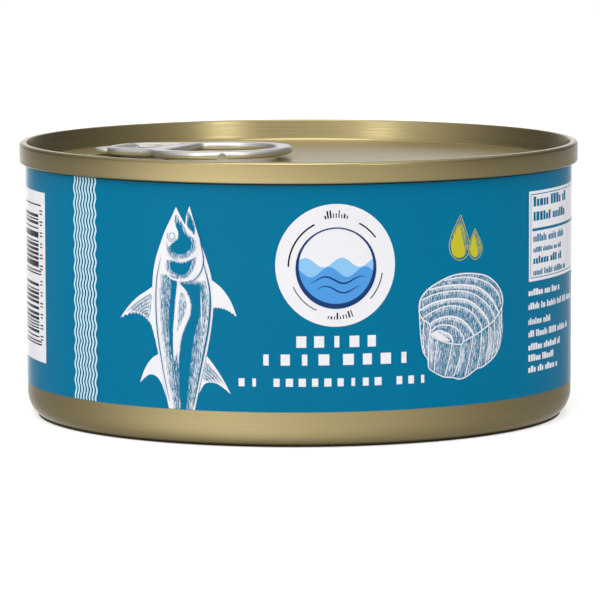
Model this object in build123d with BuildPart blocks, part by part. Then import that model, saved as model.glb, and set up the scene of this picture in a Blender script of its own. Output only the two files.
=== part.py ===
"""A shut food can of the low, wide kind, with a ring-pull easy-open end.

Millimetres, +Z up.  The origin is the centre of the base, and the front of the label faces -Y.
The can is full and shut, so the drawn body is one solid up to the underside of the end.
"""

from build123d import *
from math import acos, cos, isclose, radians, sin, sqrt, tan
import os

# Overall sizes
SEAM_DIAMETER = 87.0
CAN_HEIGHT = 42.5

# Double seam round the top edge
SEAM_HEIGHT = 3.2
SEAM_THICKNESS = 1.1
SEAM_OVERHANG = 1.0
CROWN_ROUND = 0.5
SEAM_LIP_ROUND = 0.35

# Easy-open end inside the seam
END_DEPTH = 3.5
END_SHEET = 0.3
CHUCK_WALL_LEAN = 0.8
CHUCK_WALL_SHEET = 0.35
CHUCK_FOOT_ROUND = 0.8
ANNULUS_WIDTH = 6.6
BEAD_SPACING = 6.7
BEAD_WIDTH = 1.2
BEAD_HEIGHT = 0.2
BEAD_ROUND = 0.3
SCORE_OFFSET = 1.3
SCORE_WIDTH = 0.3
SCORE_DEPTH = 0.12

# Drawn body
CORNER_WIDTH = 2.85
CORNER_HEIGHT = 3.8
FOOT_WIDTH = 1.2
FOOT_SLOPE_WIDTH = 1.0
BASE_RECESS = 0.8
BASE_STEP_RADIUS = 27.0
BASE_STEP_HEIGHT = 0.35
BASE_STEP_SLOPE = 0.5

# Wrap label
LABEL_BOTTOM = 5.4
LABEL_TOP_GAP = 0.1
LABEL_THICKNESS = 0.1
LAP_WIDTH = 8.0

# Ring-pull tab: lengths run outwards along the tab from the can's axis
TAB_AZIMUTH = 157.0
TAB_TILT = 0.73
TAB_LENGTH = 32.7
TAB_TIP_GAP = 0.3
TAB_LIFT = 0.85
RING_RADIUS = 11.5
HEM_HEIGHT = 1.2
HEM_WIDTH = 2.6
HEM_ROUND = 0.5
HOLE_WEB_OFFSET = 6.0
HOLE_CORNER_ROUND = 2.8
SHOULDER_HALF_WIDTH = 7.8
NOSE_HALF_WIDTH = 6.0
NOSE_CORNER_ROUND = 3.2
WAIST_ROUND = 5.0
NECK_SHARE = 0.9
BEAK_LENGTH = 1.7
BEAK_HALF_WIDTH = 3.0
BEAK_THICKNESS = 0.6
BEAK_RISE = 0.15
BEAK_ROUND = 1.4
NOTCH_ANGLE = 64.0
NOTCH_FOOT_WIDTH = 1.7
NOTCH_TOP_WIDTH = 0.8
NOTCH_DEPTH = 1.2
NOTCH_ROOF = 0.2

# Web of the tab, with the riveted tongue lanced out of it
WEB_THICKNESS = 0.45
WEB_DROP = 0.15
WEB_HEM = 1.7
WEB_CORNER_ROUND = 1.5
TONGUE_SLOT = 0.6
TONGUE_HALF_WIDTH = 3.3
TONGUE_THICKNESS = 0.35
TONGUE_END_MARGIN = 1.0
TONGUE_ROOT_MARGIN = 0.1
TONGUE_RISE_LENGTH = 1.5
TONGUE_ROOT = 0.5
TONGUE_TIP_SHARE = 0.8

# Rivet formed out of the end
RIVET_TIP_DISTANCE = 7.9
RIVET_PAD_RADIUS = 4.4
RIVET_PAD_HEIGHT = 0.45
RIVET_SHANK_RADIUS = 1.5
RIVET_SHANK_CLEARANCE = 0.05
RIVET_HEAD_RADIUS = 2.4
RIVET_HEAD_HEIGHT = 0.45
RIVET_HEAD_ROUND = 0.3

# Radii and levels worked out from the sizes above
seam_radius = SEAM_DIAMETER / 2
seam_inner_radius = seam_radius - SEAM_THICKNESS
seam_bottom = CAN_HEIGHT - SEAM_HEIGHT
wall_radius = seam_radius - SEAM_OVERHANG
panel_level = CAN_HEIGHT - END_DEPTH
end_underside = panel_level - END_SHEET
panel_radius = seam_inner_radius - CHUCK_WALL_LEAN
chuck_outer_radius = panel_radius + CHUCK_WALL_SHEET
outer_bead_radius = panel_radius - ANNULUS_WIDTH
inner_bead_radius = outer_bead_radius - BEAD_SPACING
score_radius = outer_bead_radius + SCORE_OFFSET
pad_level = panel_level + RIVET_PAD_HEIGHT

# Places along the tab worked out from the sizes above
tip_distance = outer_bead_radius - TAB_TIP_GAP
nose_distance = tip_distance - BEAK_LENGTH
ring_distance = tip_distance - TAB_LENGTH + RING_RADIUS
rivet_distance = tip_distance - RIVET_TIP_DISTANCE
hole_radius = RING_RADIUS - HEM_WIDTH
hole_web_distance = ring_distance + HOLE_WEB_OFFSET
web_start = hole_web_distance + WEB_HEM
web_end = nose_distance - WEB_HEM
web_half_width = NOSE_HALF_WIDTH - WEB_HEM / 2
tongue_end = rivet_distance - RIVET_HEAD_RADIUS - TONGUE_END_MARGIN
tongue_flat_end = rivet_distance + RIVET_HEAD_RADIUS + TONGUE_ROOT_MARGIN
tongue_rise_end = tongue_flat_end + TONGUE_RISE_LENGTH
ring_middle_level = panel_level + TAB_LIFT + HEM_HEIGHT / 2
axis_middle_level = ring_middle_level + ring_distance * sin(radians(TAB_TILT))

# The neck between ring and nose, whose rounds are limited by the straight side left beside them
neck_start = ring_distance + sqrt(RING_RADIUS**2 - SHOULDER_HALF_WIDTH**2)
neck_length = nose_distance - NOSE_CORNER_ROUND - neck_start
neck_turn = acos(SHOULDER_HALF_WIDTH / RING_RADIUS)
waist_round = min(WAIST_ROUND, NECK_SHARE * neck_length / tan(neck_turn / 2))

# The tab's own plane slopes down towards its nose; the rivet pad is level
tab_direction = (cos(radians(TAB_AZIMUTH)), sin(radians(TAB_AZIMUTH)), 0)
tilt_cos = cos(radians(TAB_TILT))
tilt_sin = sin(radians(TAB_TILT))
tab_slope = (tab_direction[0] * tilt_cos, tab_direction[1] * tilt_cos, -tilt_sin)
tab_normal = (tab_direction[0] * tilt_sin, tab_direction[1] * tilt_sin, tilt_cos)
tab_plane = Plane(origin=(0, 0, axis_middle_level), x_dir=tab_slope, z_dir=tab_normal)
pad_plane = Plane(origin=(0, 0, pad_level), x_dir=tab_direction, z_dir=(0, 0, 1))


def finish(part, name):
    """Label a finished piece and write its STEP file."""
    part.label = name
    export_step(part, f"parts/{name}.step")


def bead_points(radius):
    """Corners of a raised ring bead on the end panel, from its outer side to its inner side."""
    return [
        (radius + BEAD_WIDTH / 2, panel_level),
        (radius + BEAD_WIDTH / 4, panel_level + BEAD_HEIGHT),
        (radius - BEAD_WIDTH / 4, panel_level + BEAD_HEIGHT),
        (radius - BEAD_WIDTH / 2, panel_level),
    ]


def make_can_body():
    """Drawn body, turned about the can's axis: recessed base, foot, round corner and straight wall."""
    foot_outer = wall_radius - CORNER_WIDTH
    foot_inner = foot_outer - FOOT_WIDTH
    recess_radius = foot_inner - FOOT_SLOPE_WIDTH
    step_level = BASE_RECESS + BASE_STEP_HEIGHT
    with BuildPart() as can_body:
        with BuildSketch(Plane.XZ):
            with BuildLine():
                Polyline(
                    (0, step_level),
                    (BASE_STEP_RADIUS - BASE_STEP_SLOPE, step_level),
                    (BASE_STEP_RADIUS, BASE_RECESS),
                    (recess_radius, BASE_RECESS),
                    (foot_inner, 0),
                    (foot_outer, 0),
                )
                EllipticalCenterArc(
                    (foot_outer, CORNER_HEIGHT),
                    CORNER_WIDTH,
                    CORNER_HEIGHT,
                    start_angle=270,
                    arc_size=90,
                )
                Polyline(
                    (wall_radius, CORNER_HEIGHT),
                    (wall_radius, seam_bottom),
                    (chuck_outer_radius, seam_bottom),
                    (chuck_outer_radius, end_underside),
                    (0, end_underside),
                    (0, step_level),
                )
            make_face()
        revolve(axis=Axis.Z)
    finish(can_body.part, "can_body")


def is_head_circle(edge):
    """True for the circles at the foot and the top of the rivet head."""
    return edge.geom_type == GeomType.CIRCLE and isclose(edge.radius, RIVET_HEAD_RADIUS, abs_tol=1e-3)


def make_can_end():
    """Easy-open end: double seam, chuck wall, beaded panel with its score line, and the rivet."""
    score_points = [
        (score_radius + SCORE_WIDTH / 2, panel_level),
        (score_radius, panel_level - SCORE_DEPTH),
        (score_radius - SCORE_WIDTH / 2, panel_level),
    ]
    corners = [
        (0, end_underside),
        (chuck_outer_radius, end_underside),
        (chuck_outer_radius, seam_bottom),
        (seam_radius, seam_bottom),
        (seam_radius, CAN_HEIGHT),
        (seam_inner_radius, CAN_HEIGHT),
        (panel_radius, panel_level),
        *score_points,
        *bead_points(outer_bead_radius),
        *bead_points(inner_bead_radius),
        (0, panel_level),
    ]
    rounds = [0, 0, SEAM_LIP_ROUND, CROWN_ROUND, CROWN_ROUND, CHUCK_FOOT_ROUND, 0, 0, 0]
    rounds += [BEAD_ROUND] * 8
    rivet_spot = (rivet_distance, 0)
    head_plane = pad_plane.offset(TONGUE_THICKNESS)
    with BuildPart() as can_end:
        with BuildSketch(Plane.XZ):
            with BuildLine():
                FilletPolyline(*corners, radius=rounds)
                Line((0, panel_level), (0, end_underside))
            make_face()
        revolve(axis=Axis.Z)
        with BuildSketch(pad_plane.offset(-RIVET_PAD_HEIGHT)):
            with Locations(rivet_spot):
                Circle(RIVET_PAD_RADIUS)
        extrude(amount=RIVET_PAD_HEIGHT, taper=45)
        with BuildSketch(pad_plane):
            with Locations(rivet_spot):
                Circle(RIVET_SHANK_RADIUS)
        extrude(amount=TONGUE_THICKNESS)
        with BuildSketch(head_plane):
            with Locations(rivet_spot):
                Circle(RIVET_HEAD_RADIUS)
        extrude(amount=RIVET_HEAD_HEIGHT)
        head_circles = can_end.edges().filter_by(is_head_circle).sort_by(Axis.Z)
        fillet(head_circles[-1], radius=RIVET_HEAD_ROUND)
    finish(can_end.part, "can_end")


def is_waist(vertex):
    """True for the two corners where the ring's circle meets the sides of the nose."""
    return abs(vertex.X - neck_start) < WAIST_ROUND / 2


def make_tongue():
    """Tongue lanced out of the web: flat on the rivet pad, then rising to the web near the nose."""
    hinge_drop = tongue_rise_end * sin(radians(TAB_TILT))
    web_top = axis_middle_level - hinge_drop + HEM_HEIGHT / 2 - WEB_DROP
    web_bottom = web_top - WEB_THICKNESS
    top_level = pad_level + TONGUE_THICKNESS
    side_plane = Plane(origin=(0, 0, 0), x_dir=tab_direction, z_dir=(tab_direction[1], -tab_direction[0], 0))
    with BuildPart() as tongue:
        with BuildSketch(side_plane):
            Polygon(
                (tongue_end, pad_level),
                (tongue_flat_end, pad_level),
                (tongue_rise_end, web_bottom),
                (tongue_rise_end + TONGUE_ROOT, web_bottom),
                (tongue_rise_end + TONGUE_ROOT, web_top),
                (tongue_rise_end, web_top),
                (tongue_flat_end, top_level),
                (tongue_end, top_level),
                align=None,
            )
        extrude(amount=TONGUE_HALF_WIDTH, both=True)
        tip_edges = tongue.edges().filter_by(Axis.Z).sort_by_distance(
            (tab_direction[0] * tongue_end, tab_direction[1] * tongue_end, pad_level)
        )[:2]
        fillet(tip_edges, radius=TONGUE_HALF_WIDTH * TONGUE_TIP_SHARE)
        with BuildSketch(pad_plane):
            with Locations((rivet_distance, 0)):
                Circle(RIVET_SHANK_RADIUS + RIVET_SHANK_CLEARANCE)
        extrude(amount=TONGUE_THICKNESS, mode=Mode.SUBTRACT)
    return tongue.part


def make_ring_tab():
    """Ring-pull tab: rolled hem round a finger hole and a nose, a thin web, a beak and two hem notches."""
    half_height = HEM_HEIGHT / 2
    web_level = half_height - WEB_DROP
    slot_end = tongue_end - TONGUE_SLOT
    slot_half_width = TONGUE_HALF_WIDTH + TONGUE_SLOT
    slot_length = tongue_rise_end - slot_end
    tongue = make_tongue()
    with BuildSketch() as web_room:
        Polygon(
            (web_start, -web_half_width),
            (web_end, -web_half_width + WEB_HEM / 2),
            (web_end, web_half_width - WEB_HEM / 2),
            (web_start, web_half_width),
            align=None,
        )
        fillet(web_room.vertices(), radius=WEB_CORNER_ROUND)
    with BuildPart() as ring_tab:
        with BuildSketch(tab_plane.offset(-half_height)) as outline:
            with Locations((ring_distance, 0)):
                Circle(RING_RADIUS)
            Polygon(
                (ring_distance, -SHOULDER_HALF_WIDTH),
                (nose_distance, -NOSE_HALF_WIDTH),
                (nose_distance, NOSE_HALF_WIDTH),
                (ring_distance, SHOULDER_HALF_WIDTH),
                align=None,
            )
            fillet(outline.vertices().sort_by(Axis.X)[-2:], radius=NOSE_CORNER_ROUND)
            fillet(outline.vertices().sort_by(Axis.X).filter_by(is_waist), radius=waist_round)
            with BuildSketch(mode=Mode.PRIVATE) as hole:
                with Locations((ring_distance, 0)):
                    Circle(hole_radius)
                with Locations((hole_web_distance + RING_RADIUS, 0)):
                    Rectangle(2 * RING_RADIUS, 2 * RING_RADIUS, mode=Mode.SUBTRACT)
                fillet(hole.vertices(), radius=HOLE_CORNER_ROUND)
            add(hole.sketch, mode=Mode.SUBTRACT)
        extrude(amount=HEM_HEIGHT)
        rims = ring_tab.faces().filter_by(lambda face: face.is_planar).sort_by(Axis.Z)
        fillet(rims[0].edges() + rims[-1].edges(), radius=HEM_ROUND)

        with BuildSketch(tab_plane.offset(web_level)):
            add(web_room.sketch)
        extrude(amount=WEB_DROP, mode=Mode.SUBTRACT)
        with BuildSketch(tab_plane.offset(-half_height)):
            add(web_room.sketch)
        extrude(amount=HEM_HEIGHT - WEB_DROP - WEB_THICKNESS, mode=Mode.SUBTRACT)
        with BuildSketch(tab_plane.offset(-half_height)) as lance:
            with Locations((slot_end + slot_length / 2, 0)):
                Rectangle(slot_length, 2 * slot_half_width)
            fillet(lance.vertices().sort_by(Axis.X)[:2], radius=slot_half_width * TONGUE_TIP_SHARE)
        extrude(amount=HEM_HEIGHT, mode=Mode.SUBTRACT)

        with BuildSketch(tab_plane.offset(BEAK_RISE - half_height)) as beak:
            beak_length = BEAK_LENGTH + WEB_HEM / 2
            with Locations((tip_distance - beak_length / 2, 0)):
                Rectangle(beak_length, 2 * BEAK_HALF_WIDTH)
            fillet(beak.vertices().sort_by(Axis.X)[-2:], radius=BEAK_ROUND)
        extrude(amount=BEAK_THICKNESS)

        for side in (-1, 1):
            angle = 180 + side * NOTCH_ANGLE
            outward = tab_plane.x_dir.rotate(Axis((0, 0, 0), tab_plane.z_dir), angle)
            spot = tab_plane.from_local_coords((ring_distance, 0, 0)) + outward * RING_RADIUS
            across = outward.cross(tab_plane.z_dir)
            with BuildSketch(Plane(origin=spot, x_dir=across, z_dir=outward)):
                Polygon(
                    (-NOTCH_FOOT_WIDTH / 2, half_height),
                    (NOTCH_FOOT_WIDTH / 2, half_height),
                    (NOTCH_TOP_WIDTH / 2, NOTCH_ROOF - half_height),
                    (-NOTCH_TOP_WIDTH / 2, NOTCH_ROOF - half_height),
                    align=None,
                )
            extrude(amount=-NOTCH_DEPTH, mode=Mode.SUBTRACT)
        add(tongue)
    finish(ring_tab.part, "ring_tab")


def make_label():
    """Wrap label on the straight wall, with its glued overlap at the back."""
    label_radius = wall_radius + LABEL_THICKNESS
    label_height = seam_bottom - LABEL_TOP_GAP - LABEL_BOTTOM
    with BuildPart() as label:
        with BuildSketch(Plane.XY.offset(LABEL_BOTTOM)):
            with BuildSketch(mode=Mode.PRIVATE) as lap:
                Circle(label_radius + LABEL_THICKNESS)
                with Locations((0, label_radius)):
                    Rectangle(LAP_WIDTH, label_radius, mode=Mode.INTERSECT)
            Circle(label_radius)
            add(lap.sketch)
            Circle(wall_radius, mode=Mode.SUBTRACT)
        extrude(amount=label_height)
    finish(label.part, "label")


def main():
    """Build every piece of the can."""
    os.makedirs("parts", exist_ok=True)
    make_can_body()
    make_can_end()
    make_ring_tab()
    make_label()


if __name__ == "__main__":
    main()
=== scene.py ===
"""A shut food can of the low, wide kind with a ring-pull end and a printed wrap label, in its studio.

Metres, +Z up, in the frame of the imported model: the origin is the centre of the base and the front
of the label faces -Y.  Sizes of a sub-assembly are given in millimetres on its class.
"""
import logging
import math
import random
from contextlib import contextmanager
from dataclasses import dataclass
from enum import Enum
from itertools import pairwise
from typing import Callable, Iterator, Sequence

import bmesh
import bpy
from mathutils import Matrix, Vector
from mathutils.geometry import tessellate_polygon


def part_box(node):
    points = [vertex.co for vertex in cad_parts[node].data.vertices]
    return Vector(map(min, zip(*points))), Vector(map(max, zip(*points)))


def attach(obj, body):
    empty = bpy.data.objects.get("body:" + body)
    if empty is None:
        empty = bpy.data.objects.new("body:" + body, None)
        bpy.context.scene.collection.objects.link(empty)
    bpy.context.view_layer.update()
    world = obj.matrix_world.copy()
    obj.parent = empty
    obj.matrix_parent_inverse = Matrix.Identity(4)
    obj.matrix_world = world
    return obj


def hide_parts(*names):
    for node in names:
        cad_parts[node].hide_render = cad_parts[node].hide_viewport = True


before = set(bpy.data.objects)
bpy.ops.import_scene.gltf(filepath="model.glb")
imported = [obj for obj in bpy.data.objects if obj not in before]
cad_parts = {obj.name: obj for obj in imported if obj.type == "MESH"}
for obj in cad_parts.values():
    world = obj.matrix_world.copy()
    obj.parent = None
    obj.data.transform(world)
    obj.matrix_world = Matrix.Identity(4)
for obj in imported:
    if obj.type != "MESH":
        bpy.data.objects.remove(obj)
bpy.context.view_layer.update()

BODY = "root"
MM = 0.001
MERGE_GAP = 1e-6
ROUND_STEPS = 6
TURN_STEPS = 256

log = logging.getLogger("can")

Point = tuple[float, float]


class Slot(Enum):
    """Material slots of the record."""

    BODY = "body_lacquer"
    END = "end_lacquer"
    TAB = "tab_steel"
    LABEL = "label_print"


class Tone(Enum):
    """Colours of the lacquer, the steel and the inks, as linear red, green and blue."""

    GOLD = (0.46, 0.368, 0.160)
    STEEL = (0.92, 0.91, 0.89)
    TEAL = (0.0, 0.162, 0.302)
    FOAM = (0.52, 0.79, 0.90)
    DEEP = (0.0, 0.060, 0.125)
    WHITE = (0.83, 0.825, 0.86)
    PALE = (0.27, 0.55, 0.84)
    NAVY = (0.012, 0.045, 0.16)
    SKY = (0.08, 0.32, 0.72)
    BLACK = (0.008, 0.01, 0.014)
    YELLOW = (0.56, 0.50, 0.03)
    # Painted shade: the near-black ring under the seam stands in for the seam's shadow.
    SEAM_SHADE = (0.022, 0.022, 0.014)


# --- modelling by hand -------------------------------------------------------------------------


def deselect() -> None:
    """Clear the selection in object mode."""
    bpy.ops.object.select_all(action="DESELECT")


def activate(piece: bpy.types.Object) -> None:
    """Make a piece the only one selected, and the active one.

    Args:
        piece: The object to work on.
    """
    deselect()
    piece.select_set(True)
    bpy.context.view_layer.objects.active = piece


@contextmanager
def editing(piece: bpy.types.Object, select: str = "SELECT") -> Iterator[None]:
    """Open a piece in edit mode for the length of a with block.

    Args:
        piece: The object to edit.
        select: SELECT for its whole mesh, DESELECT for none, or KEEP for what code has selected.

    Yields:
        Nothing, while the piece is open.
    """
    activate(piece)
    bpy.ops.object.mode_set(mode="EDIT")
    if select != "KEEP":
        bpy.ops.mesh.select_all(action=select)
    yield
    bpy.ops.object.mode_set(mode="OBJECT")


def choose(piece: bpy.types.Object, test: Callable[[Vector], bool]) -> None:
    """Select the vertices of a piece, and the edges and faces between them, by their place.

    Args:
        piece: The object whose mesh is searched.
        test: True for the place of a vertex that is wanted.
    """
    mesh = piece.data
    for vertex in mesh.vertices:
        vertex.select = test(vertex.co)
    for edge in mesh.edges:
        edge.select = all(mesh.vertices[index].select for index in edge.vertices)
    for polygon in mesh.polygons:
        polygon.select = all(mesh.vertices[index].select for index in polygon.vertices)


def apply_modifier(piece: bpy.types.Object, name: str, kind: str, **settings: object) -> None:
    """Add a modifier with its settings and apply it.

    Args:
        piece: The object to change.
        name: The modifier's name.
        kind: The modifier's type.
        **settings: Its properties.
    """
    activate(piece)
    modifier = piece.modifiers.new(name, kind)
    for key, value in settings.items():
        setattr(modifier, key, value)
    bpy.ops.object.modifier_apply(modifier=name)


def cut_away(piece: bpy.types.Object, cutter: bpy.types.Object) -> None:
    """Cut a closed shape out of a piece and delete the cutter."""
    apply_modifier(piece, "cut", "BOOLEAN", operation="DIFFERENCE", solver="EXACT", object=cutter)
    bpy.data.objects.remove(cutter)


def tidy_mesh(piece: bpy.types.Object, smooth_angle: float = 32.0) -> None:
    """Close seams, point the faces outwards and smooth all but the sharp edges.

    Args:
        piece: The object to clean.
        smooth_angle: Edges sharper than this many degrees stay sharp.
    """
    with editing(piece):
        bpy.ops.mesh.remove_doubles(threshold=MERGE_GAP)
        bpy.ops.mesh.normals_make_consistent(inside=False)
    activate(piece)
    bpy.ops.object.shade_smooth_by_angle(angle=math.radians(smooth_angle))


def place(piece: bpy.types.Object, matrix: Matrix) -> None:
    """Move a piece with its object's transform and put that place into its mesh.

    Args:
        piece: The object to place.
        matrix: Where it goes.
    """
    activate(piece)
    piece.matrix_world = matrix
    bpy.ops.object.transform_apply(location=True, rotation=True, scale=True)


@dataclass(frozen=True)
class Corner:
    """A corner of a traced line: its place in millimetres, and the radius that rounds it."""

    across: float
    up: float
    round: float = 0.0


def trace(name: str, corners: Sequence[Corner], upright: bool, closed: bool = False) -> bpy.types.Object:
    """Draw a line of edges from corner to corner, then round the corners that have a radius.

    Args:
        name: The new object's name.
        corners: The corners in order.
        upright: True to draw in the XZ plane, False in the XY plane.
        closed: True to join the last corner to the first.

    Returns:
        The line as a mesh object.
    """
    places = [
        Vector((c.across, 0, c.up) if upright else (c.across, c.up, 0)) * MM for c in corners
    ]
    deselect()
    bpy.ops.mesh.primitive_plane_add(size=MM)
    line = bpy.context.object
    line.name = name
    with editing(line):
        bpy.ops.mesh.merge(type="CENTER")
        bpy.ops.transform.translate(value=places[0])
        for start, end in pairwise(places):
            bpy.ops.mesh.extrude_region_move(TRANSFORM_OT_translate={"value": end - start})
    if closed:
        choose(line, lambda spot: min((spot - places[0]).length, (spot - places[-1]).length) < MERGE_GAP)
        with editing(line, "KEEP"):
            bpy.ops.mesh.edge_face_add()
    count = len(places)
    for index, corner in enumerate(corners):
        if corner.round:
            before = places[index] - places[index - 1]
            after = places[(index + 1) % count] - places[index]
            tangent = corner.round * MM * math.tan(before.angle(after) / 2)
            choose(line, lambda spot: (spot - places[index]).length < MERGE_GAP)
            with editing(line, "KEEP"):
                bpy.ops.mesh.bevel(offset=tangent, segments=ROUND_STEPS, affect="VERTICES", profile=0.5)
    return line


def turn(name: str, corners: Sequence[Corner], steps: int = TURN_STEPS) -> bpy.types.Object:
    """Spin a traced half-section once round the Z axis.

    Args:
        name: The new object's name.
        corners: The half-section, radius across and level up.
        steps: Steps in the turn.

    Returns:
        The turned piece.
    """
    piece = trace(name, corners, upright=True)
    with editing(piece):
        bpy.ops.mesh.spin(steps=steps, angle=math.tau, center=(0, 0, 0), axis=(0, 0, 1))
    tidy_mesh(piece)
    return piece


def hoop(name: str, inner: float, outer: float, low: float, high: float) -> bpy.types.Object:
    """Turn a ring of rectangular section between two radii and two levels."""
    section = [Corner(inner, low), Corner(outer, low), Corner(outer, high), Corner(inner, high)]
    return turn(name, [*section, section[0]])


def plate(
    name: str, corners: Sequence[Corner], start: float, end: float, upright: bool = False
) -> bpy.types.Object:
    """Fill a traced outline and pull it into a plate.

    Args:
        name: The new object's name.
        corners: The outline, in the XY plane, or in the XZ plane when it is upright.
        start: Where the plate starts along Z, or along Y when it is upright, in millimetres.
        end: Where it ends.
        upright: True for an outline in the XZ plane.

    Returns:
        The plate.
    """

    def shift(amount: float) -> tuple[float, float, float]:
        """A move across the outline's plane."""
        return (0, amount * MM, 0) if upright else (0, 0, amount * MM)

    piece = trace(name, corners, upright, closed=True)
    with editing(piece):
        bpy.ops.mesh.edge_face_add()
        bpy.ops.transform.translate(value=shift(start))
        bpy.ops.mesh.extrude_region_move(TRANSFORM_OT_translate={"value": shift(end - start)})
    tidy_mesh(piece)
    return piece


def box_corners(
    left: float, right: float, half: float, round_left: float, round_right: float
) -> list[Corner]:
    """Corners of a rectangle about Y = 0, anticlockwise, with the radii of its low and high ends.

    Args:
        left: Its low end along X.
        right: Its high end along X.
        half: Half its width.
        round_left: Radius of the two low corners.
        round_right: Radius of the two high corners.

    Returns:
        The corners.
    """
    return [
        Corner(left, -half, round_left),
        Corner(right, -half, round_right),
        Corner(right, half, round_right),
        Corner(left, half, round_left),
    ]


def arc(centre: Point, radius: float, start: float, end: float, steps: int) -> list[Point]:
    """The points along an arc, by its centre, its radius and its first and last angle in degrees."""
    angles = [math.radians(start + (end - start) * step / steps) for step in range(steps + 1)]
    return [(centre[0] + radius * math.cos(a), centre[1] + radius * math.sin(a)) for a in angles]


# --- finishes ----------------------------------------------------------------------------------


def shade(colour: Sequence[float], share: float) -> tuple[float, ...]:
    """A colour made lighter or darker by a share."""
    return tuple(min(1.0, channel * share) for channel in colour)


class Nodes:
    """A node tree, with short ways to add nodes and wire them."""

    def __init__(self, tree: bpy.types.NodeTree) -> None:
        """Take hold of a tree."""
        self.nodes = tree.nodes
        self.links = tree.links

    def feed(self, socket: bpy.types.NodeSocket, value: object) -> None:
        """Wire an input to another node's output, or set it to a value.

        Args:
            socket: The input.
            value: An output's socket, or a plain value.
        """
        if isinstance(value, bpy.types.NodeSocket):
            self.links.new(value, socket)
        else:
            socket.default_value = value

    def add(self, kind: str, inputs: dict | None = None, **settings: object) -> bpy.types.Node:
        """Add a node.

        Args:
            kind: The node's type.
            inputs: A value or a socket for each input.
            **settings: The node's properties.

        Returns:
            The new node.
        """
        node = self.nodes.new(kind)
        for key, value in settings.items():
            setattr(node, key, value)
        for key, value in (inputs or {}).items():
            self.feed(node.inputs[key], value)
        return node

    def math(self, operation: str, *values: object) -> bpy.types.NodeSocket:
        """Add a Math node on some values or sockets and give its result."""
        return self.add("ShaderNodeMath", dict(enumerate(values)), operation=operation).outputs[0]


class Sheet(Nodes):
    """A material's node tree on the object's own coordinates."""

    def __init__(self, name: str) -> None:
        """Start a material with its shader.

        Args:
            name: The material's name.
        """
        self.material = bpy.data.materials.new(name)
        self.material.use_nodes = True
        super().__init__(self.material.node_tree)
        self.shader = self.nodes["Principled BSDF"]
        self.coordinates = self.nodes.new("ShaderNodeTexCoord").outputs["Object"]

    def set(self, **inputs: object) -> None:
        """Set the shader's sockets, named with underscores for spaces, to values or other sockets."""
        for key, value in inputs.items():
            self.feed(self.shader.inputs[key.replace("_", " ")], value)

    def noise(
        self, scale: float, detail: float = 3.0, stretch: Sequence[float] = (1, 1, 1)
    ) -> bpy.types.NodeSocket:
        """Add noise, whose scale is in waves a metre.

        Args:
            scale: Waves a metre.
            detail: Octaves of detail.
            stretch: Scale along each axis.

        Returns:
            The noise's factor.
        """
        mapping = self.add("ShaderNodeMapping", {"Vector": self.coordinates, "Scale": stretch})
        inputs = {"Vector": mapping.outputs[0], "Scale": scale, "Detail": detail}
        return self.add("ShaderNodeTexNoise", inputs).outputs["Fac"]

    def spread(self, factor: bpy.types.NodeSocket, low: float, high: float) -> bpy.types.NodeSocket:
        """Spread a noise factor, which lies mostly from 0.3 to 0.7, from a low to a high value."""
        inputs = {"Value": factor, "From Min": 0.3, "From Max": 0.7, "To Min": low, "To Max": high}
        return self.add("ShaderNodeMapRange", inputs).outputs[0]

    def mix(
        self, factor: bpy.types.NodeSocket, first: Sequence[float], second: Sequence[float]
    ) -> bpy.types.NodeSocket:
        """Mix two linear colours by a factor, from 0 for the first to 1 for the second."""
        inputs = {0: factor, 6: (*first, 1), 7: (*second, 1)}
        return self.add("ShaderNodeMix", inputs, data_type="RGBA").outputs[2]

    def cloudy(
        self, factor: bpy.types.NodeSocket, tone: Tone, shares: Sequence[float]
    ) -> bpy.types.NodeSocket:
        """A tone that runs from one share of its brightness to another by a factor."""
        return self.mix(factor, *(shade(tone.value, share) for share in shares))

    def bump(self, height: bpy.types.NodeSocket, depth: float) -> None:
        """Raise the surface by a height from 0 to 1, to a depth in metres for 1."""
        node = self.add("ShaderNodeBump", {"Height": height, "Distance": depth, "Strength": 1.0})
        self.set(Normal=node.outputs[0])


@dataclass(frozen=True)
class Lacquer:
    """Gold lacquer on tinplate: satin, with a fine orange peel and faint drawing marks."""

    name: str
    tone: Tone = Tone.GOLD
    shares: tuple[float, float] = (0.95, 1.04)
    roughness: float = 0.30
    smoother: float = 0.05
    rougher: float = 0.06
    cloud_scale: float = 60.0
    mark_scale: float = 420.0
    mark_stretch: tuple[float, float, float] = (0.06, 0.06, 8)
    peel_scale: float = 900.0
    peel_depth: float = 2.0e-6
    coat_weight: float = 0.5
    coat_ior: float = 1.75
    coat_roughness: float = 0.24

    def make(self) -> bpy.types.Material:
        """Build the material.

        Returns:
            The material, ready for a piece.
        """
        sheet = Sheet(self.name)
        colour = sheet.cloudy(sheet.noise(self.cloud_scale), self.tone, self.shares)
        marks = sheet.noise(self.mark_scale, stretch=self.mark_stretch)
        roughness = sheet.spread(marks, self.roughness - self.smoother, self.roughness + self.rougher)
        sheet.set(Base_Color=colour, Metallic=1.0, Roughness=roughness)
        sheet.set(Coat_Weight=self.coat_weight, Coat_IOR=self.coat_ior, Coat_Roughness=self.coat_roughness)
        sheet.bump(sheet.noise(self.peel_scale, 2.0), self.peel_depth)
        return sheet.material


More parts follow.
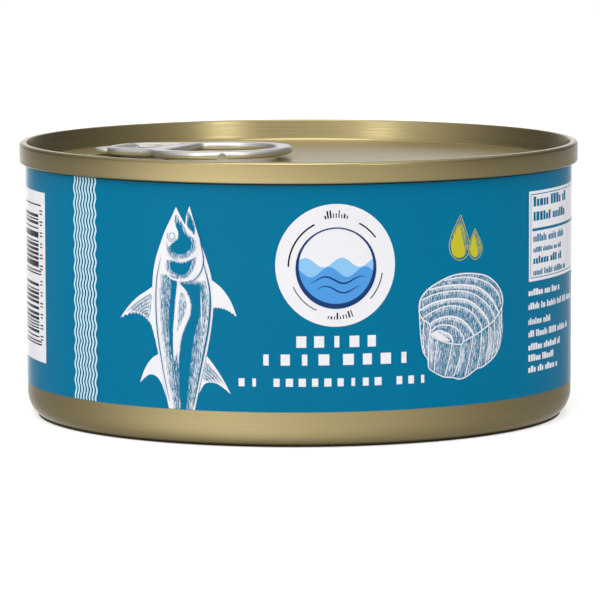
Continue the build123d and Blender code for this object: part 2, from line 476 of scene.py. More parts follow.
@dataclass(frozen=True)
class BrightSteel:
    """Bright rolled steel of the tab: thin scratches along the strip, and handling smudges."""

    name: str
    tone: Tone = Tone.STEEL
    shares: tuple[float, float] = (0.94, 1.0)
    roughness: float = 0.34
    smoother: float = 0.05
    rougher: float = 0.09
    smudge_scale: float = 180.0
    scratch_scale: float = 2600.0
    scratch_stretch: tuple[float, float, float] = (0.05, 1, 0.4)
    scratch_depth: float = 1.5e-6

    def make(self) -> bpy.types.Material:
        """Build the material.

        Returns:
            The material, ready for a piece.
        """
        sheet = Sheet(self.name)
        smudge = sheet.noise(self.smudge_scale, 4.0)
        colour = sheet.cloudy(smudge, self.tone, self.shares)
        roughness = sheet.spread(smudge, self.roughness - self.smoother, self.roughness + self.rougher)
        sheet.set(Base_Color=colour, Metallic=1.0, Roughness=roughness)
        scratches = sheet.noise(self.scratch_scale, 2.0, stretch=self.scratch_stretch)
        sheet.bump(scratches, self.scratch_depth)
        return sheet.material


@dataclass(frozen=True)
class PrintedPaper:
    """Ink on varnished label paper, with the fibre of the paper and an uneven varnish."""

    name: str
    tone: Tone
    gloss: float = 0.06
    shares: tuple[float, float] = (0.97, 1.03)
    roughness: float = 0.15
    smoother: float = 0.04
    rougher: float = 0.05
    cloud_scale: float = 130.0
    varnish_scale: float = 300.0
    fibre_scale: float = 2400.0
    fibre_stretch: tuple[float, float, float] = (1, 1, 1.6)
    fibre_depth: float = 2.0e-6

    def make(self) -> bpy.types.Material:
        """Build the material.

        Returns:
            The material, ready for a piece.
        """
        sheet = Sheet(self.name)
        colour = sheet.cloudy(sheet.noise(self.cloud_scale, 4.0), self.tone, self.shares)
        varnish = sheet.noise(self.varnish_scale)
        roughness = sheet.spread(varnish, self.roughness - self.smoother, self.roughness + self.rougher)
        sheet.set(Base_Color=colour, Roughness=roughness, Specular_IOR_Level=self.gloss)
        sheet.bump(sheet.noise(self.fibre_scale, stretch=self.fibre_stretch), self.fibre_depth)
        return sheet.material


@dataclass(frozen=True)
class PaintedSeamShade:
    """A painted shade line under the seam: a near-black, grainy, matt ring in place of the seam's shadow."""

    name: str
    tone: Tone = Tone.SEAM_SHADE
    shares: tuple[float, float] = (0.7, 1.3)
    roughness: float = 0.7
    gloss: float = 0.1
    grain_scale: float = 2400.0

    def make(self) -> bpy.types.Material:
        """Build the material.

        Returns:
            The material, ready for a piece.
        """
        sheet = Sheet(self.name)
        colour = sheet.cloudy(sheet.noise(self.grain_scale), self.tone, self.shares)
        sheet.set(Base_Color=colour, Roughness=self.roughness, Specular_IOR_Level=self.gloss)
        return sheet.material


@dataclass(frozen=True)
class EngravedInk:
    """Fine upright strokes of one ink on another, like an engraver's tint."""

    name: str
    tone: Tone
    ground: Tone
    cover: float
    ink_share: float = 0.97
    gloss: float = 0.06
    softness: float = 0.15
    roughness: float = 0.15
    half_cover: float = 0.725
    cover_span: float = 0.34
    stroke_scale: float = 8500.0
    stroke_stretch: tuple[float, float, float] = (1, 1, 0.16)
    grain_scale: float = 9500.0
    grain_share: float = 0.45

    def make(self) -> bpy.types.Material:
        """Build the material.

        Returns:
            The material, ready for a piece.
        """
        sheet = Sheet(self.name)
        strokes = sheet.noise(self.stroke_scale, 2.0, stretch=self.stroke_stretch)
        grain = sheet.noise(self.grain_scale, 2.0)
        both = sheet.math("MULTIPLY_ADD", grain, self.grain_share, strokes)
        middle = self.half_cover + (0.5 - self.cover) * self.cover_span
        share = sheet.add("ShaderNodeMapRange", {
            "Value": both,
            "From Min": middle - self.softness,
            "From Max": middle + self.softness,
        })
        colour = sheet.mix(share.outputs[0], self.ground.value, shade(self.tone.value, self.ink_share))
        sheet.set(Base_Color=colour, Roughness=self.roughness, Specular_IOR_Level=self.gloss)
        return sheet.material


# --- can ---------------------------------------------------------------------------------------


def outer_radius(node: str) -> float:
    """A round CAD node's outer radius in millimetres."""
    low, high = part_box(node)
    return (high.x - low.x) / 2 / MM


def dress(piece: bpy.types.Object, finish: bpy.types.Material, slot: Slot, *nodes: str) -> None:
    """Give a finished piece its material and its body, and hide the nodes that it stands for.

    Args:
        piece: The finished piece.
        finish: Its material.
        slot: The record's slot; not used.
        *nodes: CAD nodes that it replaces.
    """
    piece.data.materials.clear()
    piece.data.materials.append(finish)
    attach(piece, BODY)
    if nodes:
        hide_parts(*nodes)
    log.info("%s: %d faces", piece.name, len(piece.data.polygons))


@dataclass
class Body:
    """Drawn body: recessed base, foot ring, round corner and straight wall."""

    finish: bpy.types.Material
    corner_width: float = 2.85
    corner_height: float = 3.8
    foot_width: float = 1.2
    foot_slope: float = 1.0
    base_recess: float = 0.8
    step_radius: float = 27.0
    step_height: float = 0.35
    step_slope: float = 0.5
    edge_round: float = 0.3
    bead_round: float = 0.25
    tuck: float = 0.6
    corner_steps: int = 16

    def __post_init__(self) -> None:
        """Take the wall's radius and height from the frame."""
        self.wall_radius = outer_radius("can_body")
        self.foot_outer = self.wall_radius - self.corner_width
        self.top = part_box("can_end")[0].z / MM + self.tuck

    def corner(self) -> list[Corner]:
        """The quarter ellipse between the foot and the wall.

        Returns:
            Its corners, from the foot up.
        """
        steps = self.corner_steps
        angles = [math.pi / 2 * step / steps for step in range(1, steps + 1)]
        return [
            Corner(self.foot_outer + self.corner_width * math.sin(a), self.corner_height * (1 - math.cos(a)))
            for a in angles
        ]

    def build(self) -> None:
        """Turn the body."""
        foot_inner = self.foot_outer - self.foot_width
        recess = foot_inner - self.foot_slope
        step_level = self.base_recess + self.step_height
        section = [
            Corner(0, step_level),
            Corner(self.step_radius - self.step_slope, step_level, self.bead_round),
            Corner(self.step_radius, self.base_recess, self.bead_round),
            Corner(recess, self.base_recess, self.bead_round),
            Corner(foot_inner, 0, self.edge_round),
            Corner(self.foot_outer, 0),
            *self.corner(),
            Corner(self.wall_radius, self.top),
            Corner(0, self.top),
        ]
        dress(turn("body_shell", section), self.finish, Slot.BODY, "can_body")


@dataclass
class End:
    """Easy-open end: double seam, chuck wall, beaded and scored panel, and its rivet."""

    finish: bpy.types.Material
    seam_shade_finish: bpy.types.Material
    seam_height: float = 3.2
    # Size of the near-black ring of painted shade under the seam.
    line_drop: float = 0.22
    line_width: float = 0.11
    line_bite: float = 0.1
    line_lap: float = 0.05
    seam_thickness: float = 1.1
    crown_round: float = 0.5
    crown_inner_round: float = 0.2
    lip_round: float = 0.35
    depth: float = 3.5
    sheet: float = 0.3
    chuck_lean: float = 0.8
    chuck_sheet: float = 0.35
    foot_round: float = 0.8
    annulus: float = 6.6
    bead_spacing: float = 6.7
    bead_width: float = 1.2
    bead_height: float = 0.2
    bead_round: float = 0.3
    score_offset: float = 1.3
    score_width: float = 0.3
    score_depth: float = 0.12
    pad_radius: float = 4.4
    pad_height: float = 0.45
    pad_round: float = 0.3
    head_radius: float = 2.4
    head_height: float = 0.8
    head_round: float = 0.3
    dimple_radius: float = 1.1
    dimple_depth: float = 0.22

    def __post_init__(self) -> None:
        """Take the seam's radius and the can's height from the frame."""
        self.seam_radius = outer_radius("can_end")
        self.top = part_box("can_end")[1].z / MM
        self.panel_level = self.top - self.depth
        self.inner_radius = self.seam_radius - self.seam_thickness
        self.panel_radius = self.inner_radius - self.chuck_lean
        self.outer_bead = self.panel_radius - self.annulus

    def bead(self, radius: float) -> list[Corner]:
        """A raised ring bead, from its outer side to its inner side.

        Args:
            radius: Radius of its middle.

        Returns:
            Its corners.
        """
        half = self.bead_width / 2
        high = self.panel_level + self.bead_height
        return [
            Corner(radius + half, self.panel_level, self.bead_round),
            Corner(radius + half / 2, high, self.bead_round),
            Corner(radius - half / 2, high, self.bead_round),
            Corner(radius - half, self.panel_level, self.bead_round),
        ]

    def build(self) -> None:
        """Turn the end, and the near-black ring under its seam that paints the seam's shadow."""
        under = self.panel_level - self.sheet
        seam_bottom = self.top - self.seam_height
        chuck_outer = self.panel_radius + self.chuck_sheet
        score = self.outer_bead + self.score_offset
        half_score = self.score_width / 2
        section = [
            Corner(0, under),
            Corner(chuck_outer, under),
            Corner(chuck_outer, seam_bottom),
            Corner(self.seam_radius, seam_bottom, self.lip_round),
            Corner(self.seam_radius, self.top, self.crown_round),
            Corner(self.inner_radius, self.top, self.crown_inner_round),
            Corner(self.panel_radius, self.panel_level, self.foot_round),
            Corner(score + half_score, self.panel_level),
            Corner(score, self.panel_level - self.score_depth),
            Corner(score - half_score, self.panel_level),
            *self.bead(self.outer_bead),
            *self.bead(self.outer_bead - self.bead_spacing),
            Corner(0, self.panel_level),
        ]
        dress(turn("end_panel", section), self.finish, Slot.END, "can_end")
        # A near-black ring tucked under the seam: painted shade in place of the seam's shadow.
        wall = outer_radius("can_body")
        line = hoop(
            "seam_shade_line", wall - self.line_bite, wall + self.line_width,
            seam_bottom - self.line_drop, seam_bottom + self.line_lap,
        )
        dress(line, self.seam_shade_finish, Slot.END)

    def build_rivet(self, spot: Vector) -> None:
        """Turn the rivet with its pad and put it under the tab.

        Args:
            spot: Its place on the panel.
        """
        head_top = self.pad_height + self.head_height
        pad_foot = self.pad_radius + self.pad_height
        section = [
            Corner(0, -self.sheet / 2),
            Corner(pad_foot, -self.sheet / 2),
            Corner(pad_foot, 0),
            Corner(self.pad_radius, self.pad_height, self.pad_round),
            Corner(self.head_radius, self.pad_height),
            Corner(self.head_radius, head_top, self.head_round),
            Corner(self.dimple_radius, head_top, self.head_round),
            Corner(self.dimple_radius / 2, head_top - self.dimple_depth, self.head_round),
            Corner(0, head_top - self.dimple_depth),
        ]
        rivet = turn("rivet", section, steps=96)
        place(rivet, Matrix.Translation(spot))
        dress(rivet, self.finish, Slot.END)


@dataclass
class RingTab:
    """Ring-pull tab: a rolled hem round a finger hole and a nose, with a web and a riveted tongue."""

    finish: bpy.types.Material
    azimuth: float = 157.0
    tilt: float = 0.73
    tip: float = 34.7
    length: float = 32.7
    lift: float = 0.85
    ring_radius: float = 11.5
    hem_height: float = 1.2
    hem_width: float = 2.6
    hem_round: float = 0.56
    web_hem: float = 1.7
    web_thickness: float = 0.45
    web_drop: float = 0.12
    hole_web_offset: float = 6.0
    hole_round: float = 2.8
    shoulder: float = 7.8
    nose: float = 6.0
    nose_round: float = 5.95
    waist_round: float = 5.0
    beak_length: float = 2.7
    beak_half: float = 3.0
    beak_thickness: float = 0.65
    beak_rise: float = 0.15
    beak_round: float = 2.5
    beak_edge: float = 0.4
    web_round: float = 1.5
    rivet_back: float = 7.9
    tongue_half: float = 3.3
    tongue_tip: float = 0.7
    tongue_back: float = 3.4
    tongue_reach: float = 3.0
    tongue_rise: float = 1.2
    tongue_overlap: float = 0.5
    tongue_slot: float = 0.35
    tongue_thickness: float = 0.35
    notch_angle: float = 64.0
    notch_foot: float = 1.7
    notch_top: float = 0.8
    notch_depth: float = 1.9
    notch_reach: float = 1.2
    notch_roof: float = 0.2
    notch_round: float = 0.15
    arc_steps: int = 72
    hole_steps: int = 60
    edge_angle: float = 50.0
    smooth_angle: float = 32.0

    def __post_init__(self) -> None:
        """Work out the places along the tab of the ring's centre, the nose and the rivet."""
        self.ring = self.tip - self.length + self.ring_radius
        self.nose_end = self.tip - self.beak_length
        self.rivet = self.tip - self.rivet_back

    def frame_of(self, panel_level: float) -> Matrix:
        """Where the tab lies.

        Args:
            panel_level: Level of the end panel in millimetres.

        Returns:
            The matrix of the tab's own frame, whose X runs from the can's axis to the nose.
        """
        middle = panel_level + self.lift + self.hem_height / 2
        level = middle + self.ring * math.sin(math.radians(self.tilt))
        spin = Matrix.Rotation(math.radians(self.azimuth), 4, "Z")
        lean = Matrix.Rotation(math.radians(self.tilt), 4, "Y")
        return Matrix.Translation((0, 0, level * MM)) @ spin @ lean

    def rivet_spot(self, panel_level: float) -> Vector:
        """Where the rivet stands on the panel.

        Args:
            panel_level: Level of the end panel in millimetres.

        Returns:
            Its place in metres.
        """
        reach = self.rivet * MM
        turned = math.radians(self.azimuth)
        return Vector((reach * math.cos(turned), reach * math.sin(turned), panel_level * MM))

    def open_ring(self, radius: float, opening: float, steps: int, end_round: float) -> list[Corner]:
        """A circle open towards the nose by half an angle in degrees, with its two ends rounded."""
        first, *middle, last = arc((self.ring, 0), radius, opening, 360 - opening, steps)
        return [Corner(*first, end_round), *(Corner(*point) for point in middle), Corner(*last, end_round)]

    def outline(self) -> list[Corner]:
        """The tab's outline: the ring's arc, the waist and the rounded nose."""
        opening = math.degrees(math.asin(self.shoulder / self.ring_radius))
        return [
            *self.open_ring(self.ring_radius, opening, self.arc_steps, self.waist_round),
            Corner(self.nose_end, -self.nose, self.nose_round),
            Corner(self.nose_end, self.nose, self.nose_round),
        ]

    def build(self, panel_level: float, pad_level: float) -> None:
        """Model the tab in its own frame and lay it on the end.

        Args:
            panel_level: Level of the end panel in millimetres.
            pad_level: Level of the top of the rivet's pad.
        """
        half = self.hem_height / 2
        web_start = self.ring + self.hole_web_offset + self.web_hem
        web_end = self.nose_end - self.web_hem
        web_half = self.nose - self.web_hem / 2
        tab = plate("ring_tab_shell", self.outline(), -half, half)
        cut_away(tab, self.hole())
        apply_modifier(
            tab, "hem", "BEVEL", width=self.hem_round * MM, segments=5,
            limit_method="ANGLE", angle_limit=math.radians(self.edge_angle), use_clamp_overlap=False,
        )
        web = [
            Corner(web_start, -web_half, self.web_round),
            Corner(web_end, self.web_hem / 2 - web_half, self.web_round),
            Corner(web_end, web_half - self.web_hem / 2, self.web_round),
            Corner(web_start, web_half, self.web_round),
        ]
        floor = half - self.web_drop
        cut_away(tab, plate("web_top", web, floor, 2 * half))
        cut_away(tab, plate("web_under", web, -2 * half, floor - self.web_thickness))
        tongue_end = self.rivet - self.tongue_back
        tongue_root = self.rivet + self.tongue_reach
        slot_half = self.tongue_half + self.tongue_slot
        slot_round = slot_half * self.tongue_tip
        lance = box_corners(tongue_end - self.tongue_slot, tongue_root, slot_half, slot_round, 0)
        cut_away(tab, plate("lance", lance, -2 * half, 2 * half))
        for side in (-1, 1):
            cut_away(tab, self.notch(side))
        beak_root = self.nose_end - self.web_hem / 2
        beak_bottom = self.beak_rise - half
        beak = plate(
            "beak", box_corners(beak_root, self.tip, self.beak_half, 0, self.beak_round),
            beak_bottom, beak_bottom + self.beak_thickness,
        )
        apply_modifier(beak, "edge", "BEVEL", width=self.beak_thickness * self.beak_edge * MM, segments=3)
        frame_of = self.frame_of(panel_level)
        for piece in (tab, beak):
            place(piece, frame_of)
        tongue = self.tongue(tongue_end, tongue_root, frame_of, pad_level, floor)
        for piece in (beak, tongue, tab):
            piece.select_set(True)
        bpy.context.view_layer.objects.active = tab
        bpy.ops.object.join()
        activate(tab)
        bpy.ops.object.shade_smooth_by_angle(angle=math.radians(self.smooth_angle))
        dress(tab, self.finish, Slot.TAB, "ring_tab")

    def notch(self, side: int) -> bpy.types.Object:
        """The cutter of a tapered notch in the hem.

        Args:
            side: 1 or -1, for the two sides of the ring's end.

        Returns:
            The closed cutter.
        """
        half = self.hem_height / 2
        inner = self.ring_radius - self.notch_depth
        outer = self.ring_radius + self.notch_foot
        corners = [
            Corner(-self.notch_foot / 2, -half * self.notch_reach),
            Corner(self.notch_foot / 2, -half * self.notch_reach),
            Corner(self.notch_top / 2, half - self.notch_roof, self.notch_round),
            Corner(-self.notch_top / 2, half - self.notch_roof, self.notch_round),
        ]
        cutter = plate("notch", corners, -(outer - inner) / 2, (outer - inner) / 2, upright=True)
        turned = math.radians(180 + side * self.notch_angle)
        spin = Matrix.Rotation(turned - math.pi / 2, 4, "Z")
        reach = Matrix.Translation((0, (inner + outer) / 2 * MM, 0))
        place(cutter, Matrix.Translation((self.ring * MM, 0, 0)) @ spin @ reach)
        return cutter

    def tongue(
        self, start: float, root: float, frame_of: Matrix, pad_level: float, web_floor: float
    ) -> bpy.types.Object:
        """The riveted tongue: flat on the pad, then rising to the web near the nose.

        Args:
            start: Its free end along the tab.
            root: Where it joins the web.
            frame_of: The tab's frame.
            pad_level: Level of the pad's top in millimetres.
            web_floor: Level of the web's upper side in the tab's own frame.

        Returns:
            The tongue, in place.
        """
        thick = self.tongue_thickness
        web = (frame_of @ Vector((root * MM, 0, web_floor * MM))).z / MM
        bend = root - self.tongue_rise
        corners = box_corners(start, bend, self.tongue_half, self.tongue_half * self.tongue_tip, 0)
        piece = plate("tongue", corners, pad_level, pad_level + thick)
        choose(piece, lambda spot: abs(spot.x - bend * MM) < MERGE_GAP)
        with editing(piece, "KEEP"):
            for along, climb in ((self.tongue_rise, web - thick - pad_level), (self.tongue_overlap, 0)):
                step = (along * MM, 0, climb * MM)
                bpy.ops.mesh.extrude_region_move(TRANSFORM_OT_translate={"value": step})
        tidy_mesh(piece)
        place(piece, Matrix.Rotation(math.radians(self.azimuth), 4, "Z"))
        return piece

    def hole(self) -> bpy.types.Object:
        """The finger hole's cutter: a circle with a straight side towards the web.

        Returns:
            The closed cutter.
        """
        radius = self.ring_radius - self.hem_width
        opening = math.degrees(math.acos(self.hole_web_offset / radius))
        corners = self.open_ring(radius, opening, self.hole_steps, self.hole_round / 3)
        return plate("hole", corners, -self.hem_height, self.hem_height)


# --- studio ------------------------------------------------------------------------------------


def facing(azimuth: float, elevation: float) -> Vector:
    """The way to a place round the can.

    Args:
        azimuth: Degrees from the camera's side towards +X.
        elevation: Degrees above the floor.

    Returns:
        The unit vector.
    """
    around = math.radians(azimuth)
    up = math.radians(elevation)
    return Vector((math.sin(around) * math.cos(up), -math.cos(around) * math.cos(up), math.sin(up)))


@dataclass(frozen=True)
class Softbox:
    """A square soft light that faces the can."""

    name: str
    azimuth: float
    elevation: float
    size: float
    power: float
    distance: float = 1.6
    mirrored: bool = True

    def make(self) -> None:
        """Hang the light."""
        light = bpy.data.lights.new(self.name, "AREA")
        light.shape = "SQUARE"
        light.size = self.size
        light.energy = self.power
        holder = bpy.data.objects.new(self.name, light)
        bpy.context.scene.collection.objects.link(holder)
        way = facing(self.azimuth, self.elevation)
        holder.location = way * self.distance
        holder.visible_glossy = self.mirrored
        holder.rotation_euler = way.to_track_quat("Z", "Y").to_euler()


@dataclass(frozen=True)
class Glow:
    """A soft patch of light on the room's walls."""

    azimuth: float
    elevation: float
    spread: float
    level: float

    def sharpness(self) -> float:
        """How fast it fades: to 1/e at its spread."""
        return 1 / (1 - math.cos(math.radians(self.spread)))


@dataclass
class Studio:
    """Camera, floor, background and lights."""

    camera_place: tuple[float, float, float] = (0.00016, -0.7245, 0.09912)
    camera_pitch: float = 6.44
    camera_roll: float = -0.167
    camera_lens: float = 279.4
    camera_clip: tuple[float, float] = (0.05, 30.0)
    floor_radius: float = 1.2
    shade_radius: float = 0.0409
    shade_tone: float = 0.2
    floor_tone: float = 0.60
    floor_lift: float = 0.56
    room_level: float = 0.06
    floor_level: float = 0.29
    floor_stretch: float = 0.35
    horizon_blur: float = 0.03
    floor_drop: float = 0.0001
    glows: tuple[Glow, ...] = (
        Glow(-37, -8, 40, 1.1),
        Glow(24, -6, 46, 0.42),
        Glow(-177, 1, 18, 1.3),
        Glow(0, 88, 42, 1.1),
    )
    softboxes: tuple[Softbox, ...] = (
        Softbox("key", -38, 24, 0.3, 0.9),
        Softbox("fill", 35, 24, 0.3, 1.5),
        Softbox("top", -12, 66, 1.1, 7.0),
        Softbox("front_wash", -5, 40, 1.0, 6.5, mirrored=False),
        Softbox("left_wash", -100, 25, 1.0, 8.5, mirrored=False),
        Softbox("right_wash", 100, 25, 1.0, 7.0, mirrored=False),
    )

    def camera(self) -> None:
        """Set up the camera."""
        data = bpy.data.cameras.new("camera")
        data.lens = self.camera_lens
        data.clip_start, data.clip_end = self.camera_clip
        camera = bpy.data.objects.new("camera", data)
        bpy.context.scene.collection.objects.link(camera)
        pitch = Matrix.Rotation(math.radians(90 - self.camera_pitch), 4, "X")
        roll = Matrix.Rotation(math.radians(self.camera_roll), 4, "Z")
        camera.matrix_world = Matrix.Translation(self.camera_place) @ pitch @ roll
        bpy.context.scene.camera = camera

    def ground(self, name: str, radius: float, drop: float, tone: float, lift: float) -> bpy.types.Object:
        """Lay one round of pale ground that rays of sight see a little brighter than it is lit.

        Args:
            name: Its name.
            radius: Its radius in metres.
            drop: Its depth under the can's foot.
            tone: Its grey.
            lift: Light added where it is seen.

        Returns:
            The ground.
        """
        deselect()
        bpy.ops.mesh.primitive_circle_add(
            vertices=96, radius=radius, fill_type="NGON", location=(0, 0, -drop)
        )
        ground = bpy.context.object
        ground.name = name
        sheet = Sheet(name)
        seen = sheet.add("ShaderNodeLightPath").outputs["Is Camera Ray"]
        added = sheet.math("MULTIPLY", seen, lift)
        sheet.set(Base_Color=(tone, tone, tone, 1), Roughness=0.9, Specular_IOR_Level=0.0)
        sheet.set(Emission_Color=(1, 1, 1, 1), Emission_Strength=added)
        ground.data.materials.append(sheet.material)
        return ground

    def floor(self) -> None:
        """Lay a plain pale floor that keeps the can's shadow, and the shade under its rounded corner."""
        floor = self.ground("floor", self.floor_radius, self.floor_drop, self.floor_tone, self.floor_lift)
        floor.visible_glossy = False
        self.ground("foot_shade", self.shade_radius, 0.0, self.shade_tone, 0.0)

    def background(self) -> None:
        """Make the room: white where it is seen, and a dim room with soft glows where it lights the can."""
        world = bpy.data.worlds.new("room")
        bpy.context.scene.world = world
        world.use_nodes = True
        room = Nodes(world.node_tree)
        look = room.add("ShaderNodeTexCoord").outputs["Generated"]
        x, y, rise = room.add("ShaderNodeSeparateXYZ", {0: look}).outputs
        level = room.math("MAXIMUM", rise, room.math("MULTIPLY", rise, self.floor_stretch))
        aimed = room.add("ShaderNodeCombineXYZ", {0: x, 1: y, 2: level}).outputs[0]
        way = room.add("ShaderNodeVectorMath", {0: aimed}, operation="NORMALIZE").outputs[0]
        total = room.add("ShaderNodeMapRange", {
            "Value": rise, "From Min": -self.horizon_blur, "From Max": self.horizon_blur,
            "To Min": self.floor_level, "To Max": self.room_level,
        }).outputs[0]
        for glow in self.glows:
            inputs = {0: way, 1: facing(glow.azimuth, glow.elevation)}
            near = room.add("ShaderNodeVectorMath", inputs, operation="DOT_PRODUCT").outputs["Value"]
            sharp = glow.sharpness()
            fall = room.math("MULTIPLY_ADD", near, sharp, math.log(glow.level) - sharp)
            total = room.math("ADD", total, room.math("EXPONENT", fall))
        shades = [
            room.add("ShaderNodeBackground", {"Color": (1, 1, 1, 1), "Strength": strength}).outputs[0]
            for strength in (total, 1.0)
        ]
        seen = room.add("ShaderNodeLightPath").outputs["Is Camera Ray"]
        mixed = room.add("ShaderNodeMixShader", {0: seen, 1: shades[0], 2: shades[1]}).outputs[0]
        room.feed(room.nodes["World Output"].inputs["Surface"], mixed)

    def build(self) -> None:
        """Set up the whole studio."""
        self.camera()
        self.floor()
        self.background()
        for softbox in self.softboxes:
            softbox.make()
        bpy.context.scene.view_settings.view_transform = "Standard"


# --- print -------------------------------------------------------------------------------------


WRAP_STEP = 1.0
INK_THICKNESS = 0.012
EDGE = 0.05


def smooth(points: Sequence[Point], steps: int = 8, closed: bool = False) -> list[Point]:
    """A smooth curve through given points.

    Args:
        points: The points in order.
        steps: Steps between two points.
        closed: True to run on from the last point to the first.

    Returns:
        The points of the curve.
    """
    count = len(points)

    def at(index: int) -> Point:
        """The point of that index, past the ends too."""
        return points[index % count] if closed else points[max(0, min(count - 1, index))]

    def blend(a: float, b: float, c: float, d: float, t: float) -> float:
        """A coordinate between the second and the third of four, by the share passed."""
        bend, twist = 2 * a - 5 * b + 4 * c - d, 3 * b - 3 * c + d - a
        return 0.5 * (2 * b + (c - a) * t + bend * t * t + twist * t**3)

    curve = []
    for index in range(count if closed else count - 1):
        before, start, end, after = (at(index + shift) for shift in (-1, 0, 1, 2))
        for step in range(steps):
            curve.append(tuple(blend(*four, step / steps) for four in zip(before, start, end, after)))
    if not closed:
        curve.append(points[-1])
    return curve


def taper(width: float) -> Callable[[float], float]:
    """A stroke's width that swells from a point to its middle and back."""
    return lambda share: width * math.sin(math.pi * min(0.97, max(0.03, share))) ** 0.6


def even(width: float) -> Callable[[float], float]:
    """A stroke's width that stays the same."""
    return lambda share: width


class Ink:
    """One colour of one picture, drawn flat in millimetres along and up the label, then wrapped on it."""

    def __init__(self, name: str, finish: bpy.types.Material, level: int) -> None:
        """Start with a clean sheet.

        Args:
            name: The piece's name.
            finish: The ink.
            level: How many inks lie under it, plus one.
        """
        self.name = name
        self.finish = finish
        self.level = level
        self.sheet = bmesh.new()

    def patch(self, outline: Sequence[Point], holes: Sequence[Sequence[Point]] = ()) -> None:
        """Fill an outline.

        Args:
            outline: Its points.
            holes: Outlines left open in it.
        """
        loops = [[Vector((*point, 0)) for point in loop] for loop in (outline, *holes)]
        spots = [self.sheet.verts.new(spot) for loop in loops for spot in loop]
        faces = []
        for corners in tessellate_polygon(loops):
            face = self.sheet.faces.new([spots[index] for index in corners])
            face.normal_update()
            if face.normal.z < 0:
                face.normal_flip()
            faces.append(face)
        low = min(point[0] for point in outline)
        high = max(point[0] for point in outline)
        geometry = [*spots, *{edge for face in faces for edge in face.edges}, *faces]
        for step in range(math.floor(low / WRAP_STEP) + 1, math.ceil(high / WRAP_STEP)):
            line = {"plane_co": (step * WRAP_STEP, 0, 0), "plane_no": (1, 0, 0)}
            geometry = bmesh.ops.bisect_plane(self.sheet, geom=geometry, **line)["geom"]

    def shape(self, points: Sequence[Point], steps: int = 5) -> None:
        """Fill a smooth outline that passes some points, with some steps between two of them."""
        self.patch(smooth(points, steps, closed=True))

    def block(self, left: float, bottom: float, width: float, height: float) -> None:
        """Fill a rectangle by its left side, its lower side, its width and its height."""
        right, top = left + width, bottom + height
        self.patch([(left, bottom), (right, bottom), (right, top), (left, top)])

    def disc(self, centre: Point, radius: float, squeeze: float = 1.0, steps: int = 64) -> None:
        """Fill a circle, or an ellipse squeezed upright by its height for a width of 1."""
        points = arc((0, 0), radius, 0, 360, steps)[:-1]
        self.patch([(centre[0] + x, centre[1] + y * squeeze) for x, y in points])

    def stroke(self, spine: Sequence[Point], width: Callable[[float], float]) -> None:
        """Draw a line of changing width.

        Args:
            spine: Points along its middle.
            width: Its width by the share of the points passed.
        """
        last = len(spine) - 1
        sides = []
        for index, (x, y) in enumerate(spine):
            before = spine[max(0, index - 1)]
            after = spine[min(last, index + 1)]
            along = Vector((after[0] - before[0], after[1] - before[1]))
            along.normalize()
            half = width(index / last) / 2
            left = self.sheet.verts.new((x - along.y * half, y + along.x * half, 0))
            right = self.sheet.verts.new((x + along.y * half, y - along.x * half, 0))
            sides.append((left, right))
        for (left, right), (next_left, next_right) in pairwise(sides):
            self.sheet.faces.new([left, right, next_right, next_left])

    def line(self, points: Sequence[Point], width: Callable[[float], float]) -> None:
        """Draw a smooth line that passes some points, with a width by the share of them passed."""
        self.stroke(smooth(points), width)

    def build(self, radius: float, thickness: float = INK_THICKNESS) -> None:
        """Wrap the sheet on the label and give it its thickness.

        Args:
            radius: The label's radius in millimetres.
            thickness: The ink's thickness.
        """
        inside = radius + (self.level - 1) * INK_THICKNESS
        for vertex in self.sheet.verts:
            turned = vertex.co.x / radius
            vertex.co = Vector((inside * math.sin(turned), -inside * math.cos(turned), vertex.co.y)) * MM
        mesh = bpy.data.meshes.new(self.name)
        self.sheet.to_mesh(mesh)
        self.sheet.free()
        piece = bpy.data.objects.new(self.name, mesh)
        bpy.context.scene.collection.objects.link(piece)
        apply_modifier(piece, "thickness", "SOLIDIFY", thickness=thickness * MM, offset=1.0)
        dress(piece, self.finish, Slot.LABEL)


class Inks:
    """The printing inks, plain and engraved."""

    def __init__(self) -> None:
        """Mix each ink once."""

        def plain(tone: Tone) -> bpy.types.Material:
            """The plain ink of a tone."""
            return PrintedPaper(f"ink_{tone.name.lower()}", tone).make()

        self.foam = plain(Tone.FOAM)
        self.deep = plain(Tone.DEEP)
        self.tints = [
            EngravedInk(f"ink_tint_{index}", Tone.WHITE, Tone.TEAL, cover).make()
            for index, cover in enumerate((0.22, 0.45, 0.7))
        ]
        self.oil = EngravedInk("ink_oil", Tone.YELLOW, Tone.TEAL, 0.5).make()
        self.teal = plain(Tone.TEAL)
        self.white = plain(Tone.WHITE)
        self.pale = plain(Tone.PALE)
        self.navy = plain(Tone.NAVY)
        self.sky = plain(Tone.SKY)
        self.black = plain(Tone.BLACK)
        self.yellow = plain(Tone.YELLOW)


@dataclass
class Picture:
    """A picture printed on the label in a few inks."""

    inks: Inks
    radius: float

    def wrap(self, *sheets: Ink) -> None:
        """Wrap its finished sheets on the label."""
        for sheet in sheets:
            sheet.build(self.radius)


def mock_words(
    ink: Ink, left: float, bottom: float, length: float, height: float, seed: int, bold: bool = False
) -> None:
    """Fill a line with small upright blocks in groups, like the texture of words but with no letters.

    Args:
        ink: The ink.
        left: Where the line starts.
        bottom: Its base.
        length: Its length.
        height: Height of the tall blocks.
        seed: Seed of the random widths.
        bold: True for wider blocks.
    """
    draw = random.Random(seed)
    weight = 0.62 if bold else 0.42
    reach = left
    left_in_word = draw.randint(3, 8)
    while reach < left + length:
        width = height * draw.uniform(weight * 0.7, weight * 1.15)
        tall = height if draw.random() < 0.4 else height * 0.72
        ink.block(reach, bottom, width, tall)
        reach += width + height * 0.16
        left_in_word -= 1
        if left_in_word == 0:
            reach += height * 0.5
            left_in_word = draw.randint(3, 8)


